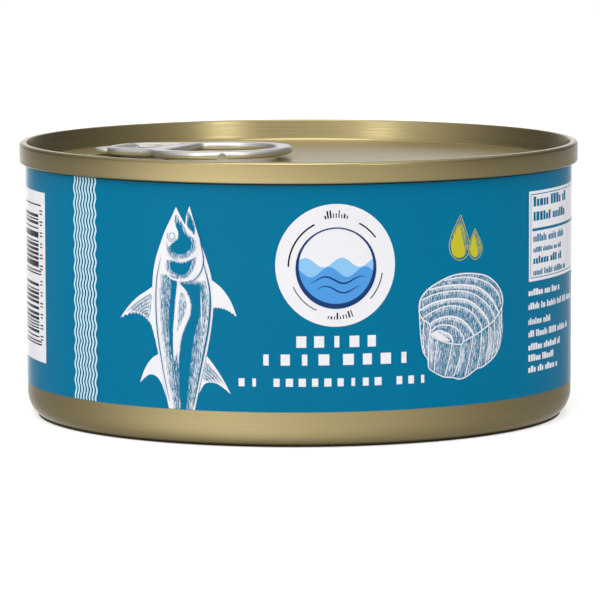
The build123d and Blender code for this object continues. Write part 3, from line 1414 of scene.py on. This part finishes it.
@dataclass
class WaveBand(Picture):
    """An upright band of wavy lines down the label."""

    name: str
    middle: float
    lines: int = 8
    spacing: float = 0.70
    wavelength: float = 2.43
    crest: float = 36.2
    swing: float = 0.17
    weight: float = 0.36
    margin: float = 0.42
    wave_steps: int = 12

    def build(self, bottom: float, top: float) -> None:
        """Draw the band.

        Args:
            bottom: The label's lower edge.
            top: The label's upper edge.
        """
        foam = Ink(f"{self.name}_lines", self.inks.foam, 2)
        deep = Ink(f"{self.name}_ground", self.inks.deep, 1)
        steps = round((top - bottom) / self.wavelength * self.wave_steps)
        levels = [bottom + (top - bottom) * step / steps for step in range(steps + 1)]
        wave = [(self.swing * math.cos(math.tau * (z - self.crest) / self.wavelength), z) for z in levels]
        reach = (self.lines - 1) / 2 * self.spacing
        edge = reach + self.spacing * self.margin
        deep.patch([
            *((self.middle - edge + s, z) for s, z in reversed(wave)),
            *((self.middle + edge + s, z) for s, z in wave),
        ])
        for line in range(self.lines):
            middle = self.middle - reach + line * self.spacing
            foam.stroke([(middle + s, z) for s, z in wave], even(self.weight))
        self.wrap(deep, foam)


@dataclass
class Barcode(Picture):
    """A white panel with bars stacked up the label and a column of plain marks beside them."""

    left: float = -63.2
    right: float = -48.5
    bottom: float = 9.7
    top: float = 35.85
    bars_left: float = -61.3
    bars_right: float = -51.5
    bars_bottom: float = 12.2
    bars_top: float = 33.9
    unit: float = 0.226
    guard: float = 1.2
    quiet: int = 5
    mark: float = 1.5
    mark_gap: float = 0.5
    mark_weight: float = 0.2
    mark_rows: tuple[float, float] = (-0.35, 0.15)
    marks: int = 6

    def build(self) -> None:
        """Print the panel, the bars and the marks."""
        panel = Ink("barcode_panel", self.inks.white, 1)
        panel.block(self.left, self.bottom, self.right - self.left, self.top - self.bottom)
        self.wrap(panel)
        bars = Ink("barcode_bars", self.inks.black, 2)
        draw = random.Random(8)
        half = (self.bars_top - self.bars_bottom) / 2
        wide = self.bars_right - self.bars_left
        guard = self.bars_right + self.guard - self.bars_left
        for start in (self.bars_bottom, self.bars_bottom + half):
            for step in (0, 2):
                bars.block(self.bars_left, start + step * self.unit, guard, self.unit)
            level = start + self.quiet * self.unit
            while level < start + half - (self.quiet + 1) * self.unit:
                bar = draw.choice((1, 1, 1, 2, 2, 4))
                bars.block(self.bars_left, level, wide, bar * self.unit)
                level += (bar + draw.choice((1, 1, 2, 2))) * self.unit
            for mark in range(self.marks):
                middle = start + half * (mark + 0.7) / (self.marks + 0.4)
                for offset in self.mark_rows:
                    length = self.mark * draw.uniform(0.55, 1.0)
                    left = self.bars_right + self.mark_gap + (self.mark - length) / 2
                    bars.block(left, middle + offset, length, self.mark_weight)
        bars.block(self.bars_left, self.bars_top - self.unit, guard, self.unit)
        self.wrap(bars)


@dataclass
class Roundel(Picture):
    """A white disc with a navy ring round a plain two-tone sea, and thin arcs round the ring."""

    centre: Point = (5.5, 27.22)
    disc_radius: float = 8.98
    squeeze: float = 1.013
    ring_centre: Point = (5.55, 26.95)
    ring_radius: float = 5.8
    ring_thin: float = 0.2
    ring_thick: float = 0.75
    wave_length: float = 5.4
    word_strokes: int = 9
    arcs: tuple[tuple[float, float, float, float], ...] = (
        (7.1, 117, 179, 0.25), (7.0, 204, 245, 0.14), (7.3, 36, 62, 0.22), (7.0, -43, -8, 0.16),
    )

    def ring(self, ink: Ink) -> None:
        """Draw the closed ring, thinnest at the top and thickest at the bottom.

        Args:
            ink: The ink.
        """
        middle = (self.ring_thin + self.ring_thick) / 2
        swing = (self.ring_thick - self.ring_thin) / 2
        ink.stroke(
            arc(self.ring_centre, self.ring_radius, 0, 360, 150),
            lambda share: middle - swing * math.sin(math.tau * share),
        )

    def wave(self, level: float, height: float, shift: float, reach: float) -> list[Point]:
        """Points along a plain wave that crosses the ring.

        Args:
            level: Its mean level over the ring's centre.
            height: Half the height from trough to crest.
            shift: How far it is moved along, in waves.
            reach: How far from the ring's centre it may run.

        Returns:
            The points inside that reach, from left to right.
        """
        steps = 120
        points = []
        for step in range(steps + 1):
            x = reach * (2 * step / steps - 1)
            z = level + height * math.sin(math.tau * (x / self.wave_length + shift))
            if math.hypot(x, z) <= reach:
                points.append((self.ring_centre[0] + x, self.ring_centre[1] + z))
        return points

    def swell(self, ink: Ink, level: float, height: float, shift: float) -> None:
        """Fill the ring below a wave.

        Args:
            ink: The ink.
            level: The wave's mean level.
            height: Half its height.
            shift: How far it is moved along, in waves.
        """
        reach = self.ring_radius - 0.1
        surface = self.wave(level, height, shift, reach)
        start, end = (
            math.degrees(math.atan2(z - self.ring_centre[1], x - self.ring_centre[0]))
            for x, z in (surface[-1], surface[0])
        )
        ink.patch([*surface, *arc(self.ring_centre, reach, start, (end % 360) - 360, 60)])

    def mock_word(self, ink: Ink, start: float, end: float, radius: float, height: float, seed: int) -> None:
        """Small upright strokes along an arc, in place of a word.

        Args:
            ink: The ink.
            start: Where it starts, in degrees.
            end: Where it ends.
            radius: The arc's radius at the strokes' feet.
            height: The tall strokes' height.
            seed: Seed of the random heights.
        """
        draw = random.Random(seed)
        count = self.word_strokes
        for index in range(count):
            turned = start + (end - start) * (index + 0.5) / count
            reach = radius + height * draw.choice((0.45, 0.6, 1.0))
            foot = arc(self.ring_centre, radius, turned, turned, 1)[0]
            head = arc(self.ring_centre, reach, turned, turned, 1)[0]
            ink.stroke([foot, head], even(draw.choice((0.16, 0.24))))

    def build(self) -> None:
        """Print the roundel."""
        disc = Ink("roundel_disc", self.inks.white, 1)
        disc.disc(self.centre, self.disc_radius, self.squeeze, steps=120)
        pale = Ink("roundel_far_sea", self.inks.pale, 2)
        sky = Ink("roundel_near_sea", self.inks.sky, 3)
        navy = Ink("roundel_navy", self.inks.navy, 4)
        black = Ink("roundel_black", self.inks.black, 2)
        self.swell(pale, 0.7, 0.7, 0.1)
        self.swell(sky, -0.7, 0.75, 0.45)
        for level, weight in ((-1.9, 0.26), (-3.3, 0.22)):
            navy.stroke(self.wave(level, 0.5, 0.55, self.ring_radius - 1.2), taper(weight))
        self.ring(navy)
        for reach, start, end, weight in self.arcs:
            black.stroke(arc(self.ring_centre, reach, start, end, 24), even(weight))
        self.mock_word(black, 104, 76, 7.3, 1.15, 21)
        self.mock_word(black, 259, 290, 7.75, -1.0, 22)
        self.wrap(disc, pale, sky, navy, black)


@dataclass
class Headline(Picture):
    """Three lines of plain white blocks where the front's words would stand.

    A row has its level, height, length and middle, the space between its groups in blocks, and the
    number of blocks in each group.
    """

    fill: float = 0.56
    rows: tuple[tuple, ...] = (
        (15.05, 1.7, 12.0, 5.6, 0.0, (5,)),
        (12.4, 1.65, 22.4, 5.5, 0.28, (4, 4)),
        (9.25, 1.2, 28.6, 5.2, 0.76, (2, 9, 3)),
    )

    def build(self) -> None:
        """Print the blocks."""
        white = Ink("headline_blocks", self.inks.white, 1)
        draw = random.Random(5)
        for bottom, height, length, middle, break_share, words in self.rows:
            letters = sum(words)
            pitch = length / (letters - 1 + break_share * (len(words) - 1) + self.fill)
            reach = middle - length / 2
            for word in words:
                for _ in range(word):
                    wide = pitch * self.fill * draw.choice((0.5, 0.85, 1.0, 1.0))
                    white.block(reach + (pitch * self.fill - wide) / 2, bottom, wide, height)
                    reach += pitch
                reach += pitch * break_share
        self.wrap(white)


@dataclass
class Drops(Picture):
    """Two drops of oil: yellow fields beside engraved ones, inside thin outlines."""

    outline_weight: float = 0.1
    shade_width: float = 0.86
    shade_height: float = 0.88

    def build(self) -> None:
        """Print the drops."""
        oil = Ink("oil_shade", self.inks.oil, 1)
        yellow = Ink("oil_drops", self.inks.yellow, 2)
        outlines = (
            [(25.6, 34.0), (24.6, 32.4), (23.8, 30.8), (23.5, 29.4), (24.0, 28.0),
             (25.35, 27.2), (26.7, 27.7), (27.3, 29.1), (27.0, 30.5), (26.3, 32.3)],
            [(28.3, 31.8), (27.65, 30.5), (27.2, 29.2), (27.2, 28.0), (28.2, 27.15),
             (29.3, 27.6), (29.75, 28.8), (29.3, 30.1), (28.7, 31.1)],
        )
        fills = (
            [(25.35, 32.4), (24.5, 31.0), (23.9, 29.7), (24.15, 28.2), (25.35, 27.55),
             (26.3, 28.1), (26.2, 29.4), (25.75, 30.9)],
            [(28.1, 30.9), (27.6, 29.5), (27.45, 28.2), (28.25, 27.5), (28.9, 28.0), (28.6, 29.4)],
        )
        for outline, fill in zip(outlines, fills):
            closed = smooth([*outline, outline[0]], 6)
            yellow.stroke(closed, even(self.outline_weight))
            across = (min(point[0] for point in outline) + max(point[0] for point in outline)) / 2
            up = sum(point[1] for point in outline) / len(outline)
            oil.patch([
                (across + (x - across) * self.shade_width, up + (y - up) * self.shade_height)
                for x, y in closed[:-1]
            ])
            yellow.shape(fill)
        self.wrap(oil, yellow)


@dataclass
class Steak(Picture):
    """A round steak of fish: white lines that follow its flakes, over an engraved tint."""

    weight: float = 0.2
    ring_shares: tuple[float, float] = (0.95, 1.25)
    flake_share: float = 0.85
    shade_drop: float = 0.32
    shade_weight: float = 0.5
    flake_shift: float = 0.5
    flake_weight: float = 0.7

    def build(self) -> None:
        """Print the steak."""
        tint = Ink("steak_tint", self.inks.tints[0], 1)
        shade_ink = Ink("steak_shade", self.inks.tints[1], 2)
        light = Ink("steak_light", self.inks.tints[2], 3)
        lines = Ink("steak_lines", self.inks.white, 4)
        back = smooth([
            (18.4, 19.7), (18.4, 20.9), (18.7, 21.9), (19.9, 23.2), (22.5, 24.5), (24.9, 25.1), (27.5, 25.1),
            (30.3, 24.6), (32.3, 23.5), (33.6, 22.1), (34.1, 20.7), (33.9, 19.4),
        ])
        front = smooth([
            (33.9, 19.4), (32.3, 17.8), (30.3, 16.7), (28.3, 15.8), (26.2, 15.0), (25.7, 14.6), (24.0, 14.8),
            (21.7, 15.5), (20.4, 16.3), (20.1, 17.9), (18.9, 18.8), (18.4, 19.7),
        ])
        base = smooth([
            (18.4, 19.7), (18.6, 16.6), (19.0, 14.0), (19.8, 12.7), (20.0, 11.4), (21.3, 10.5), (22.6, 9.9),
            (24.2, 9.7), (25.1, 9.4), (26.2, 9.5), (27.3, 9.95), (28.7, 10.7), (29.9, 10.9), (32.1, 12.1),
            (33.2, 13.5), (33.7, 16.0), (33.9, 19.4),
        ])
        for rim in (back, base):
            tint.patch([*rim[:-1], *front[:-1]])
        for rim, share in ((back, 1.0), (front, 0.9), (base, 0.8)):
            lines.stroke(rim, even(self.weight * share))
        rings = (
            [(22.6, 24.3), (24.7, 24.6), (27.5, 24.5), (30.8, 23.5), (32.9, 21.9), (33.7, 20.0)],
            [(20.1, 23.1), (22.8, 23.5), (25.7, 23.5), (28.9, 22.9), (31.6, 21.1), (33.2, 18.8)],
            [(18.8, 21.6), (21.1, 22.4), (24.2, 22.7), (27.5, 22.2), (30.3, 20.6), (31.8, 19.1),
             (32.4, 17.9)],
            [(18.5, 20.1), (20.7, 21.1), (23.6, 21.5), (26.6, 21.2), (28.9, 19.9), (30.6, 18.3),
             (31.2, 17.1)],
            [(18.9, 18.9), (21.1, 20.0), (23.6, 20.5), (26.2, 20.0), (28.2, 18.8), (29.4, 17.3),
             (29.7, 16.4)],
            [(20.1, 17.9), (21.7, 18.7), (23.8, 18.9), (25.7, 18.3), (27.3, 17.0), (28.1, 15.8)],
            [(20.4, 17.0), (21.9, 17.7), (23.8, 17.5), (25.1, 16.8), (26.0, 15.8), (26.2, 15.0)],
            [(20.5, 16.4), (21.6, 16.9), (22.9, 16.5), (23.9, 15.9), (24.2, 14.9)],
        )
        for index, spine in enumerate(map(smooth, rings)):
            lines.stroke(spine, even(self.weight * self.ring_shares[index % 2]))
            under = [(s, z - self.shade_drop) for s, z in spine[2:-3]]
            (light if index % 2 else shade_ink).stroke(under, taper(self.shade_weight))
        flakes = (
            [(19.2, 18.5), (19.0, 15.9), (19.3, 13.6)], [(20.15, 17.2), (19.95, 14.6), (19.95, 11.7)],
            [(21.5, 15.5), (21.1, 13.1), (20.9, 10.9)], [(24.0, 14.7), (23.6, 12.8), (22.8, 10.1)],
            [(25.7, 14.5), (25.4, 12.5), (24.3, 9.9)], [(27.9, 15.6), (27.5, 13.4), (26.4, 9.7)],
            [(29.6, 16.2), (29.4, 13.4), (28.8, 10.8)], [(31.1, 16.9), (31.0, 14.2), (30.4, 11.2)],
            [(32.3, 17.7), (32.2, 14.6), (31.7, 12.0)], [(33.3, 18.7), (33.3, 16.1), (32.7, 12.9)],
        )
        for index, spine in enumerate(map(smooth, flakes)):
            lines.stroke(spine, even(self.weight * self.flake_share))
            beside = [(s + self.flake_shift, z) for s, z in spine[1:-1]]
            (light if index % 3 == 1 else shade_ink).stroke(beside, taper(self.flake_weight))
        lines.shape([(20.5, 16.45), (21.3, 16.75), (22.3, 16.2), (23.6, 15.3), (22.8, 15.25), (21.5, 15.7)])
        self.wrap(tint, shade_ink, light, lines)


@dataclass
class FactsPanel(Picture):
    """A white table of values with teal rules, and white lines of mock words under it."""

    left: float = 40.7
    right: float = 64.4
    bottom: float = 22.75
    top: float = 36.45
    inset: float = 0.45
    rule: float = 0.12

    def build(self) -> None:
        """Print the panel."""
        panel = Ink("facts_panel", self.inks.white, 1)
        panel.block(self.left, self.bottom, self.right - self.left, self.top - self.bottom)
        lines = (
            (20.6, 10.5, True), (18.5, 19.5, False), (16.2, 7.2, False), (14.3, 16.0, False),
            (12.3, 11.0, True), (10.6, 8.0, True), (8.9, 9.6, True),
        )
        for index, (bottom, length, bold) in enumerate(lines):
            mock_words(panel, self.left - 0.1, bottom, length, 1.0, 40 + index, bold)
        teal = Ink("facts_rules", self.inks.teal, 2)
        left = self.left + self.inset
        right = self.right - self.inset
        low = self.bottom + self.inset
        high = self.top - self.inset
        teal.block(left, low, self.rule, high - low)
        teal.block(right - self.rule, low, self.rule, high - low)
        for level in (low, high - self.rule):
            teal.block(left, level, right - left, self.rule)
        teal.block(left + 0.5, 30.35, right - left - 1.3, 0.42)
        rows = (
            (34.1, 12.9, 1.5, True), (31.9, 12.6, 1.35, True), (28.7, 12.3, 1.15, False),
            (27.1, 10.2, 0.8, False), (25.35, 10.5, 1.15, True), (23.6, 13.0, 0.95, False),
        )
        for index, (bottom, length, height, bold) in enumerate(rows):
            mock_words(teal, left + 0.8, bottom, length, height, 60 + index, bold)
        self.wrap(panel, teal)


Rows = Sequence[tuple[float, float, float]]


@dataclass
class Fish(Picture):
    """A fish engraved head up: a white form with teal fields, engraver's tints and dark lines."""

    foot: float = 5.45

    def __post_init__(self) -> None:
        """Lay down the two sides of the body, from the jaws to the cut tail."""
        self.left = smooth([
            (-18.75, 35.6), (-19.6, 33.9), (-20.6, 32.0), (-21.5, 29.8), (-22.3, 27.5), (-22.75, 25.0),
            (-22.85, 21.5), (-22.6, 18.0), (-22.05, 14.4), (-21.4, 11.0), (-20.7, 8.0), (-20.1, self.foot),
        ])
        self.right = smooth([
            (-16.55, 35.8), (-15.8, 33.4), (-14.8, 30.5), (-13.8, 27.7), (-13.1, 25.0),
            (-12.85, 21.8), (-13.05, 18.8), (-13.6, 15.4), (-14.4, 11.8), (-15.2, 8.4), (-15.85, self.foot),
        ])

    @staticmethod
    def side(curve: Sequence[Point], level: float) -> float:
        """Where a side of the body is at a level.

        Args:
            curve: The side's points, from the top down.
            level: The level.

        Returns:
            The place along the label.
        """
        for (s, z), (next_s, next_z) in pairwise(curve):
            if next_z <= level <= z:
                return s + (next_s - s) * (z - level) / max(1e-9, z - next_z)
        return curve[-1][0]

    def across(self, share: float, level: float) -> Point:
        """A point of the body by its share of the way from the left side to the right."""
        left = self.side(self.left, level)
        return left + (self.side(self.right, level) - left) * share, level

    def strip(self, ink: Ink, rows: Rows) -> None:
        """Fill a strip down the body.

        Args:
            ink: The ink.
            rows: Level, low share and high share of each row, from the top down.
        """
        low = smooth([self.across(first, level) for level, first, _ in rows], 6)
        high = smooth([self.across(second, level) for level, _, second in rows], 6)
        ink.patch([*reversed(low), *high])

    def thread(self, ink: Ink, rows: Sequence[tuple[float, float]], weight: float) -> None:
        """Draw a swelling line down the body by the level and the share of each of its points."""
        ink.stroke(smooth([self.across(share, level) for level, share in rows], 6), taper(weight))

    @staticmethod
    def soft_patch(inks: Sequence[Ink], points: Sequence[Point], sizes: Sequence[float]) -> None:
        """Fill an outline several times, smaller each time, so that its edge fades.

        Args:
            inks: The inks, from the rim to the middle.
            points: The outline.
            sizes: The size for each ink.
        """
        outline = smooth(points, 5, closed=True)
        across = sum(s for s, _ in outline) / len(outline)
        up = sum(z for _, z in outline) / len(outline)
        for ink, size in zip(inks, sizes):
            ink.patch([(across + (s - across) * size, up + (z - up) * size) for s, z in outline])

    @staticmethod
    def ray(ink: Ink, start: Point, end: Point, rise: float, weight: float) -> None:
        """Draw a ray of a fin from its body's end to its other end, bowed upwards by a rise."""
        middle = ((start[0] + end[0]) / 2, (start[1] + end[1]) / 2 + rise)
        ink.line([start, middle, end], taper(weight))

    @staticmethod
    def fin(ink: Ink, lead: Sequence[Point], trail: Sequence[Point], teeth: float) -> None:
        """Fill a fin with a toothed trailing edge.

        Args:
            ink: The ink.
            lead: Its leading edge, from the body to the tip.
            trail: Its trailing edge, from the body to the tip.
            teeth: The teeth's depth.
        """
        front = smooth(lead, 8)
        back = [(s, z + (teeth if index % 2 else 0.0)) for index, (s, z) in enumerate(smooth(trail, 6))]
        ink.patch([*front, *reversed(back[:-1])])

    def fins(self, white: Ink, tint: Ink, dark: Ink) -> None:
        """The four fins.

        Args:
            white: Their ink.
            tint: The shading's ink.
            dark: The rays' ink.
        """
        for lead, trail, teeth in (
            (
                [(-22.6, 23.7), (-24.0, 22.8), (-25.6, 21.8), (-27.4, 20.2), (-28.9, 18.4)],
                [(-21.9, 13.6), (-22.9, 17.2), (-23.6, 18.3), (-24.9, 19.1), (-26.7, 19.2), (-28.9, 18.4)],
                0.3,
            ),
            (
                [(-21.9, 13.5), (-23.0, 12.8), (-24.2, 11.3), (-25.2, 9.0)],
                [(-20.6, 7.2), (-21.4, 9.2), (-22.4, 10.2), (-23.6, 10.25), (-25.2, 9.0)],
                0.05,
            ),
            (
                [(-13.2, 25.0), (-11.6, 23.8), (-10.2, 21.9), (-9.2, 19.4)],
                [(-13.0, 20.7), (-11.8, 20.7), (-10.5, 20.3), (-9.2, 19.4)],
                0.22,
            ),
            (
                [(-13.9, 13.6), (-12.7, 12.1), (-11.4, 10.2), (-10.2, 8.0)],
                [(-15.2, 7.9), (-14.2, 9.4), (-12.9, 9.6), (-11.8, 9.2), (-10.2, 8.0)],
                0.05,
            ),
        ):
            self.fin(white, lead, trail, teeth)
        tint.shape([(-23.0, 22.3), (-24.8, 21.5), (-26.8, 20.0), (-24.9, 19.6), (-23.5, 18.9)])
        tint.shape([(-14.0, 12.6), (-12.9, 11.5), (-12.0, 10.3), (-13.2, 10.1), (-14.4, 10.1)])
        for ray in range(7):
            start = (-23.0 - 0.1 * ray, 22.5 - 0.62 * ray)
            end = (-27.6 + 0.66 * ray, 19.5 - 0.22 * ray + 0.035 * ray * ray)
            self.ray(dark, start, end, 0.2, 0.1)
        for ray in range(5):
            start = (-14.1 - 0.12 * ray, 12.5 - 0.55 * ray)
            end = (-11.2 - 0.55 * ray, 9.5 + 0.05 * ray)
            self.ray(dark, start, end, 0.15, 0.09)

    def head(self, fields: Sequence[Ink], white: Ink, dark: Ink) -> None:
        """The head: the snout, the jaw, the cheek and the gill cover.

        Args:
            fields: Inks from the lightest tint to plain teal.
            white: Ink of the light lines.
            dark: Ink of the dark lines.
        """
        snout = [
            (-18.55, 34.1), (-18.95, 33.3), (-18.6, 32.5), (-18.35, 31.6), (-18.6, 30.7), (-19.5, 30.1),
            (-20.1, 29.3), (-19.5, 28.35), (-17.9, 27.95), (-16.5, 28.6), (-15.7, 29.9), (-16.0, 31.0),
            (-17.0, 31.7), (-17.7, 32.9),
        ]
        self.soft_patch(fields, snout, (1.12, 1.03, 0.93, 0.78))
        jaw = [(-16.75, 35.0), (-17.0, 33.2), (-16.4, 32.1), (-15.75, 31.5), (-15.75, 33.0)]
        self.soft_patch(fields[1:], jaw, (1.0, 0.85, 0.65))
        cheek = [
            (-20.35, 27.6), (-20.35, 26.2), (-19.2, 25.35), (-17.9, 25.0), (-16.7, 25.45), (-15.9, 26.6),
            (-15.5, 28.2), (-16.6, 27.75), (-17.9, 27.4), (-19.2, 27.6),
        ]
        self.soft_patch(fields, cheek, (1.05, 0.97, 0.88, 0.7))
        white.line([
            (-20.2, 29.8), (-19.8, 28.5), (-18.5, 27.8), (-16.9, 27.95), (-15.6, 29.0), (-15.2, 30.4),
            (-15.4, 31.6),
        ], taper(0.34))
        white.line([(-17.25, 33.0), (-16.8, 31.9), (-15.75, 31.1)], even(0.16))
        white.line([(-17.0, 34.4), (-17.15, 32.9)], even(0.14))
        eye = (-19.4, 31.25)
        white.disc(eye, 0.62, steps=24)
        dark.stroke(arc(eye, 0.47, 0, 360, 28), even(0.07))
        dark.stroke(arc(eye, 0.80, 150, 330, 20), even(0.07))
        dark.line([(-20.25, 30.3), (-20.1, 29.2), (-19.4, 28.2), (-18.2, 27.65)], taper(0.13))
        dark.line([
            (-15.5, 34.2), (-15.1, 32.2), (-14.75, 30.4), (-14.35, 28.4), (-14.5, 26.7), (-15.4, 25.2),
            (-16.6, 24.5), (-18.0, 24.4),
        ], taper(0.17))
        white.line([(-20.6, 25.9), (-19.6, 25.0), (-17.9, 24.7), (-16.4, 25.0), (-15.2, 26.1)], taper(0.3))

    def body(self, fields: Sequence[Ink], white: Ink, dark: Ink) -> None:
        """The flanks: two long fields either side of the middle fin.

        Args:
            fields: Inks from the lightest tint to plain teal.
            white: Ink of the light lines.
            dark: Ink of the dark lines.
        """
        foot = self.foot
        flanks = (
            (
                ((25.5, 0.14, 0.45), (22, 0.12, 0.42), (19, 0.12, 0.40), (16, 0.12, 0.38),
                 (11, 0.14, 0.46), (foot, 0.2, 0.5)),
                ((25.3, 0.17, 0.44), (22, 0.14, 0.40), (19, 0.145, 0.375), (16, 0.16, 0.35),
                 (11, 0.19, 0.45), (foot, 0.27, 0.48)),
                ((25.1, 0.18, 0.43), (22, 0.19, 0.40), (19, 0.20, 0.365), (16, 0.22, 0.34),
                 (11, 0.27, 0.46), (foot, 0.38, 0.5)),
                ((24.6, 0.34, 0.42), (22, 0.31, 0.39), (19, 0.28, 0.355), (16, 0.27, 0.335),
                 (13, 0.31, 0.36)),
            ),
            (
                ((24.8, 0.46, 0.9), (22.5, 0.60, 0.93), (20, 0.64, 0.94), (16, 0.49, 0.92),
                 (11, 0.42, 0.93), (foot, 0.44, 0.95)),
                ((24.6, 0.46, 0.86), (22.5, 0.605, 0.90), (20, 0.645, 0.90), (16, 0.495, 0.88),
                 (11, 0.42, 0.9), (foot, 0.45, 0.9)),
                ((24.4, 0.47, 0.84), (22.5, 0.61, 0.86), (20, 0.65, 0.85), (16, 0.5, 0.80),
                 (11, 0.43, 0.8), (foot, 0.46, 0.78)),
                ((24.2, 0.48, 0.78), (22.5, 0.63, 0.8), (20, 0.655, 0.79), (16, 0.50, 0.72),
                 (11, 0.45, 0.70), (foot, 0.47, 0.68)),
            ),
        )
        for flank in flanks:
            for ink, rows in zip(fields, flank):
                self.strip(ink, rows)
        for ink, rows, weight in (
            (white, ((23, 0.815), (20, 0.82), (18, 0.835)), 0.16),
            (white, ((24.6, 0.445), (20, 0.39), (16, 0.35), (12.3, 0.335)), 0.22),
            (dark, ((28, 0.10), (24, 0.07), (18, 0.055), (12, 0.06), (6.5, 0.08)), 0.17),
            (dark, ((27.5, 0.93), (23, 0.955), (18, 0.955), (12, 0.94), (6, 0.93)), 0.3),
            (dark, ((13.5, 0.33), (10, 0.37), (6.5, 0.42)), 0.12),
        ):
            self.thread(ink, rows, weight)

    def middle_fin(self, white: Ink, tints: Sequence[Ink]) -> None:
        """The fin along the middle, with a toothed right edge.

        Args:
            white: Its ink.
            tints: Its shading's inks, the lighter first.
        """
        left_rows = ((24.3, 0.445), (21, 0.40), (17, 0.36), (12.6, 0.335))
        right_rows = (
            (24.3, 0.455), (23.0, 0.50), (22.6, 0.60), (21.0, 0.64), (19, 0.60), (16.5, 0.49), (12.6, 0.345),
        )
        shade_rows = ((22.6, 0.47), (22.2, 0.56), (20.3, 0.57), (17.8, 0.46), (17.5, 0.42))
        left = smooth([self.across(share, z) for z, share in left_rows])
        right = smooth([self.across(share, z) for z, share in right_rows])
        toothed = [(s + (0.1 if index % 2 and index > 26 else 0), z) for index, (s, z) in enumerate(right)]
        white.patch([*reversed(left), *toothed])
        self.soft_patch(tints, [self.across(share, z) for z, share in shade_rows], (1.0, 0.62))

    def build(self) -> None:
        """Print the fish."""
        white = Ink("fish_form", self.inks.white, 1)
        fields = [
            Ink(f"fish_field_{index}", finish, 2 + index)
            for index, finish in enumerate((*reversed(self.inks.tints), self.inks.teal))
        ]
        light = Ink("fish_light", self.inks.white, 6)
        fin_tints = [
            Ink("fish_fin_light", self.inks.tints[2], 7),
            Ink("fish_fin_half_tone", self.inks.tints[1], 8),
        ]
        dark = Ink("fish_lines", self.inks.teal, 9)
        white.patch([*reversed(self.left), (-18.1, 34.4), (-17.2, 32.9), (-17.0, 34.6), *self.right])
        self.fins(white, fields[0], dark)
        self.head(fields, light, dark)
        self.body(fields, light, dark)
        self.middle_fin(light, fin_tints)
        self.wrap(white, *fields, light, *fin_tints, dark)


@dataclass
class Label:
    """Printed wrap label on the wall, with its glued overlap at the back."""

    finish: bpy.types.Material
    thickness: float = 0.1
    lap_width: float = 8.0

    def build(self) -> None:
        """Make the sleeve and its overlap."""
        low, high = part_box("label")
        radius = outer_radius("label")
        bottom = low.z / MM
        top = high.z / MM
        sleeve = hoop("label_sleeve", radius - self.thickness / 2, radius, bottom, top)
        dress(sleeve, self.finish, Slot.LABEL, "label")
        lap = Ink("label_lap", self.finish, 1)
        lap.block(math.pi * radius - self.lap_width / 2, bottom, self.lap_width, top - bottom)
        lap.build(radius, self.thickness)
        inks = Inks()
        for name, middle in (("waves_left", -36.5), ("waves_right", 80.0)):
            WaveBand(inks, radius, name, middle).build(bottom + EDGE, top - EDGE)
        for picture in (Barcode, Roundel, Headline, Drops, Steak, FactsPanel, Fish):
            picture(inks, radius).build()


def main() -> None:
    """Build the can piece by piece, then the studio round it."""
    logging.basicConfig(level=logging.INFO, format="%(name)s: %(message)s")
    Body(Lacquer("drawn_wall_lacquer", roughness=0.48).make()).build()
    # The end's second finish is the near-black painted shade under its seam.
    end = End(Lacquer("end_sheet_lacquer").make(), PaintedSeamShade("painted_seam_shade").make())
    end.build()
    tab = RingTab(BrightSteel("bright_steel").make())
    end.build_rivet(tab.rivet_spot(end.panel_level))
    tab.build(end.panel_level, end.panel_level + end.pad_height)
    Label(PrintedPaper("label_teal", Tone.TEAL).make()).build()
    Studio().build()


if __name__ == "__main__":
    main()
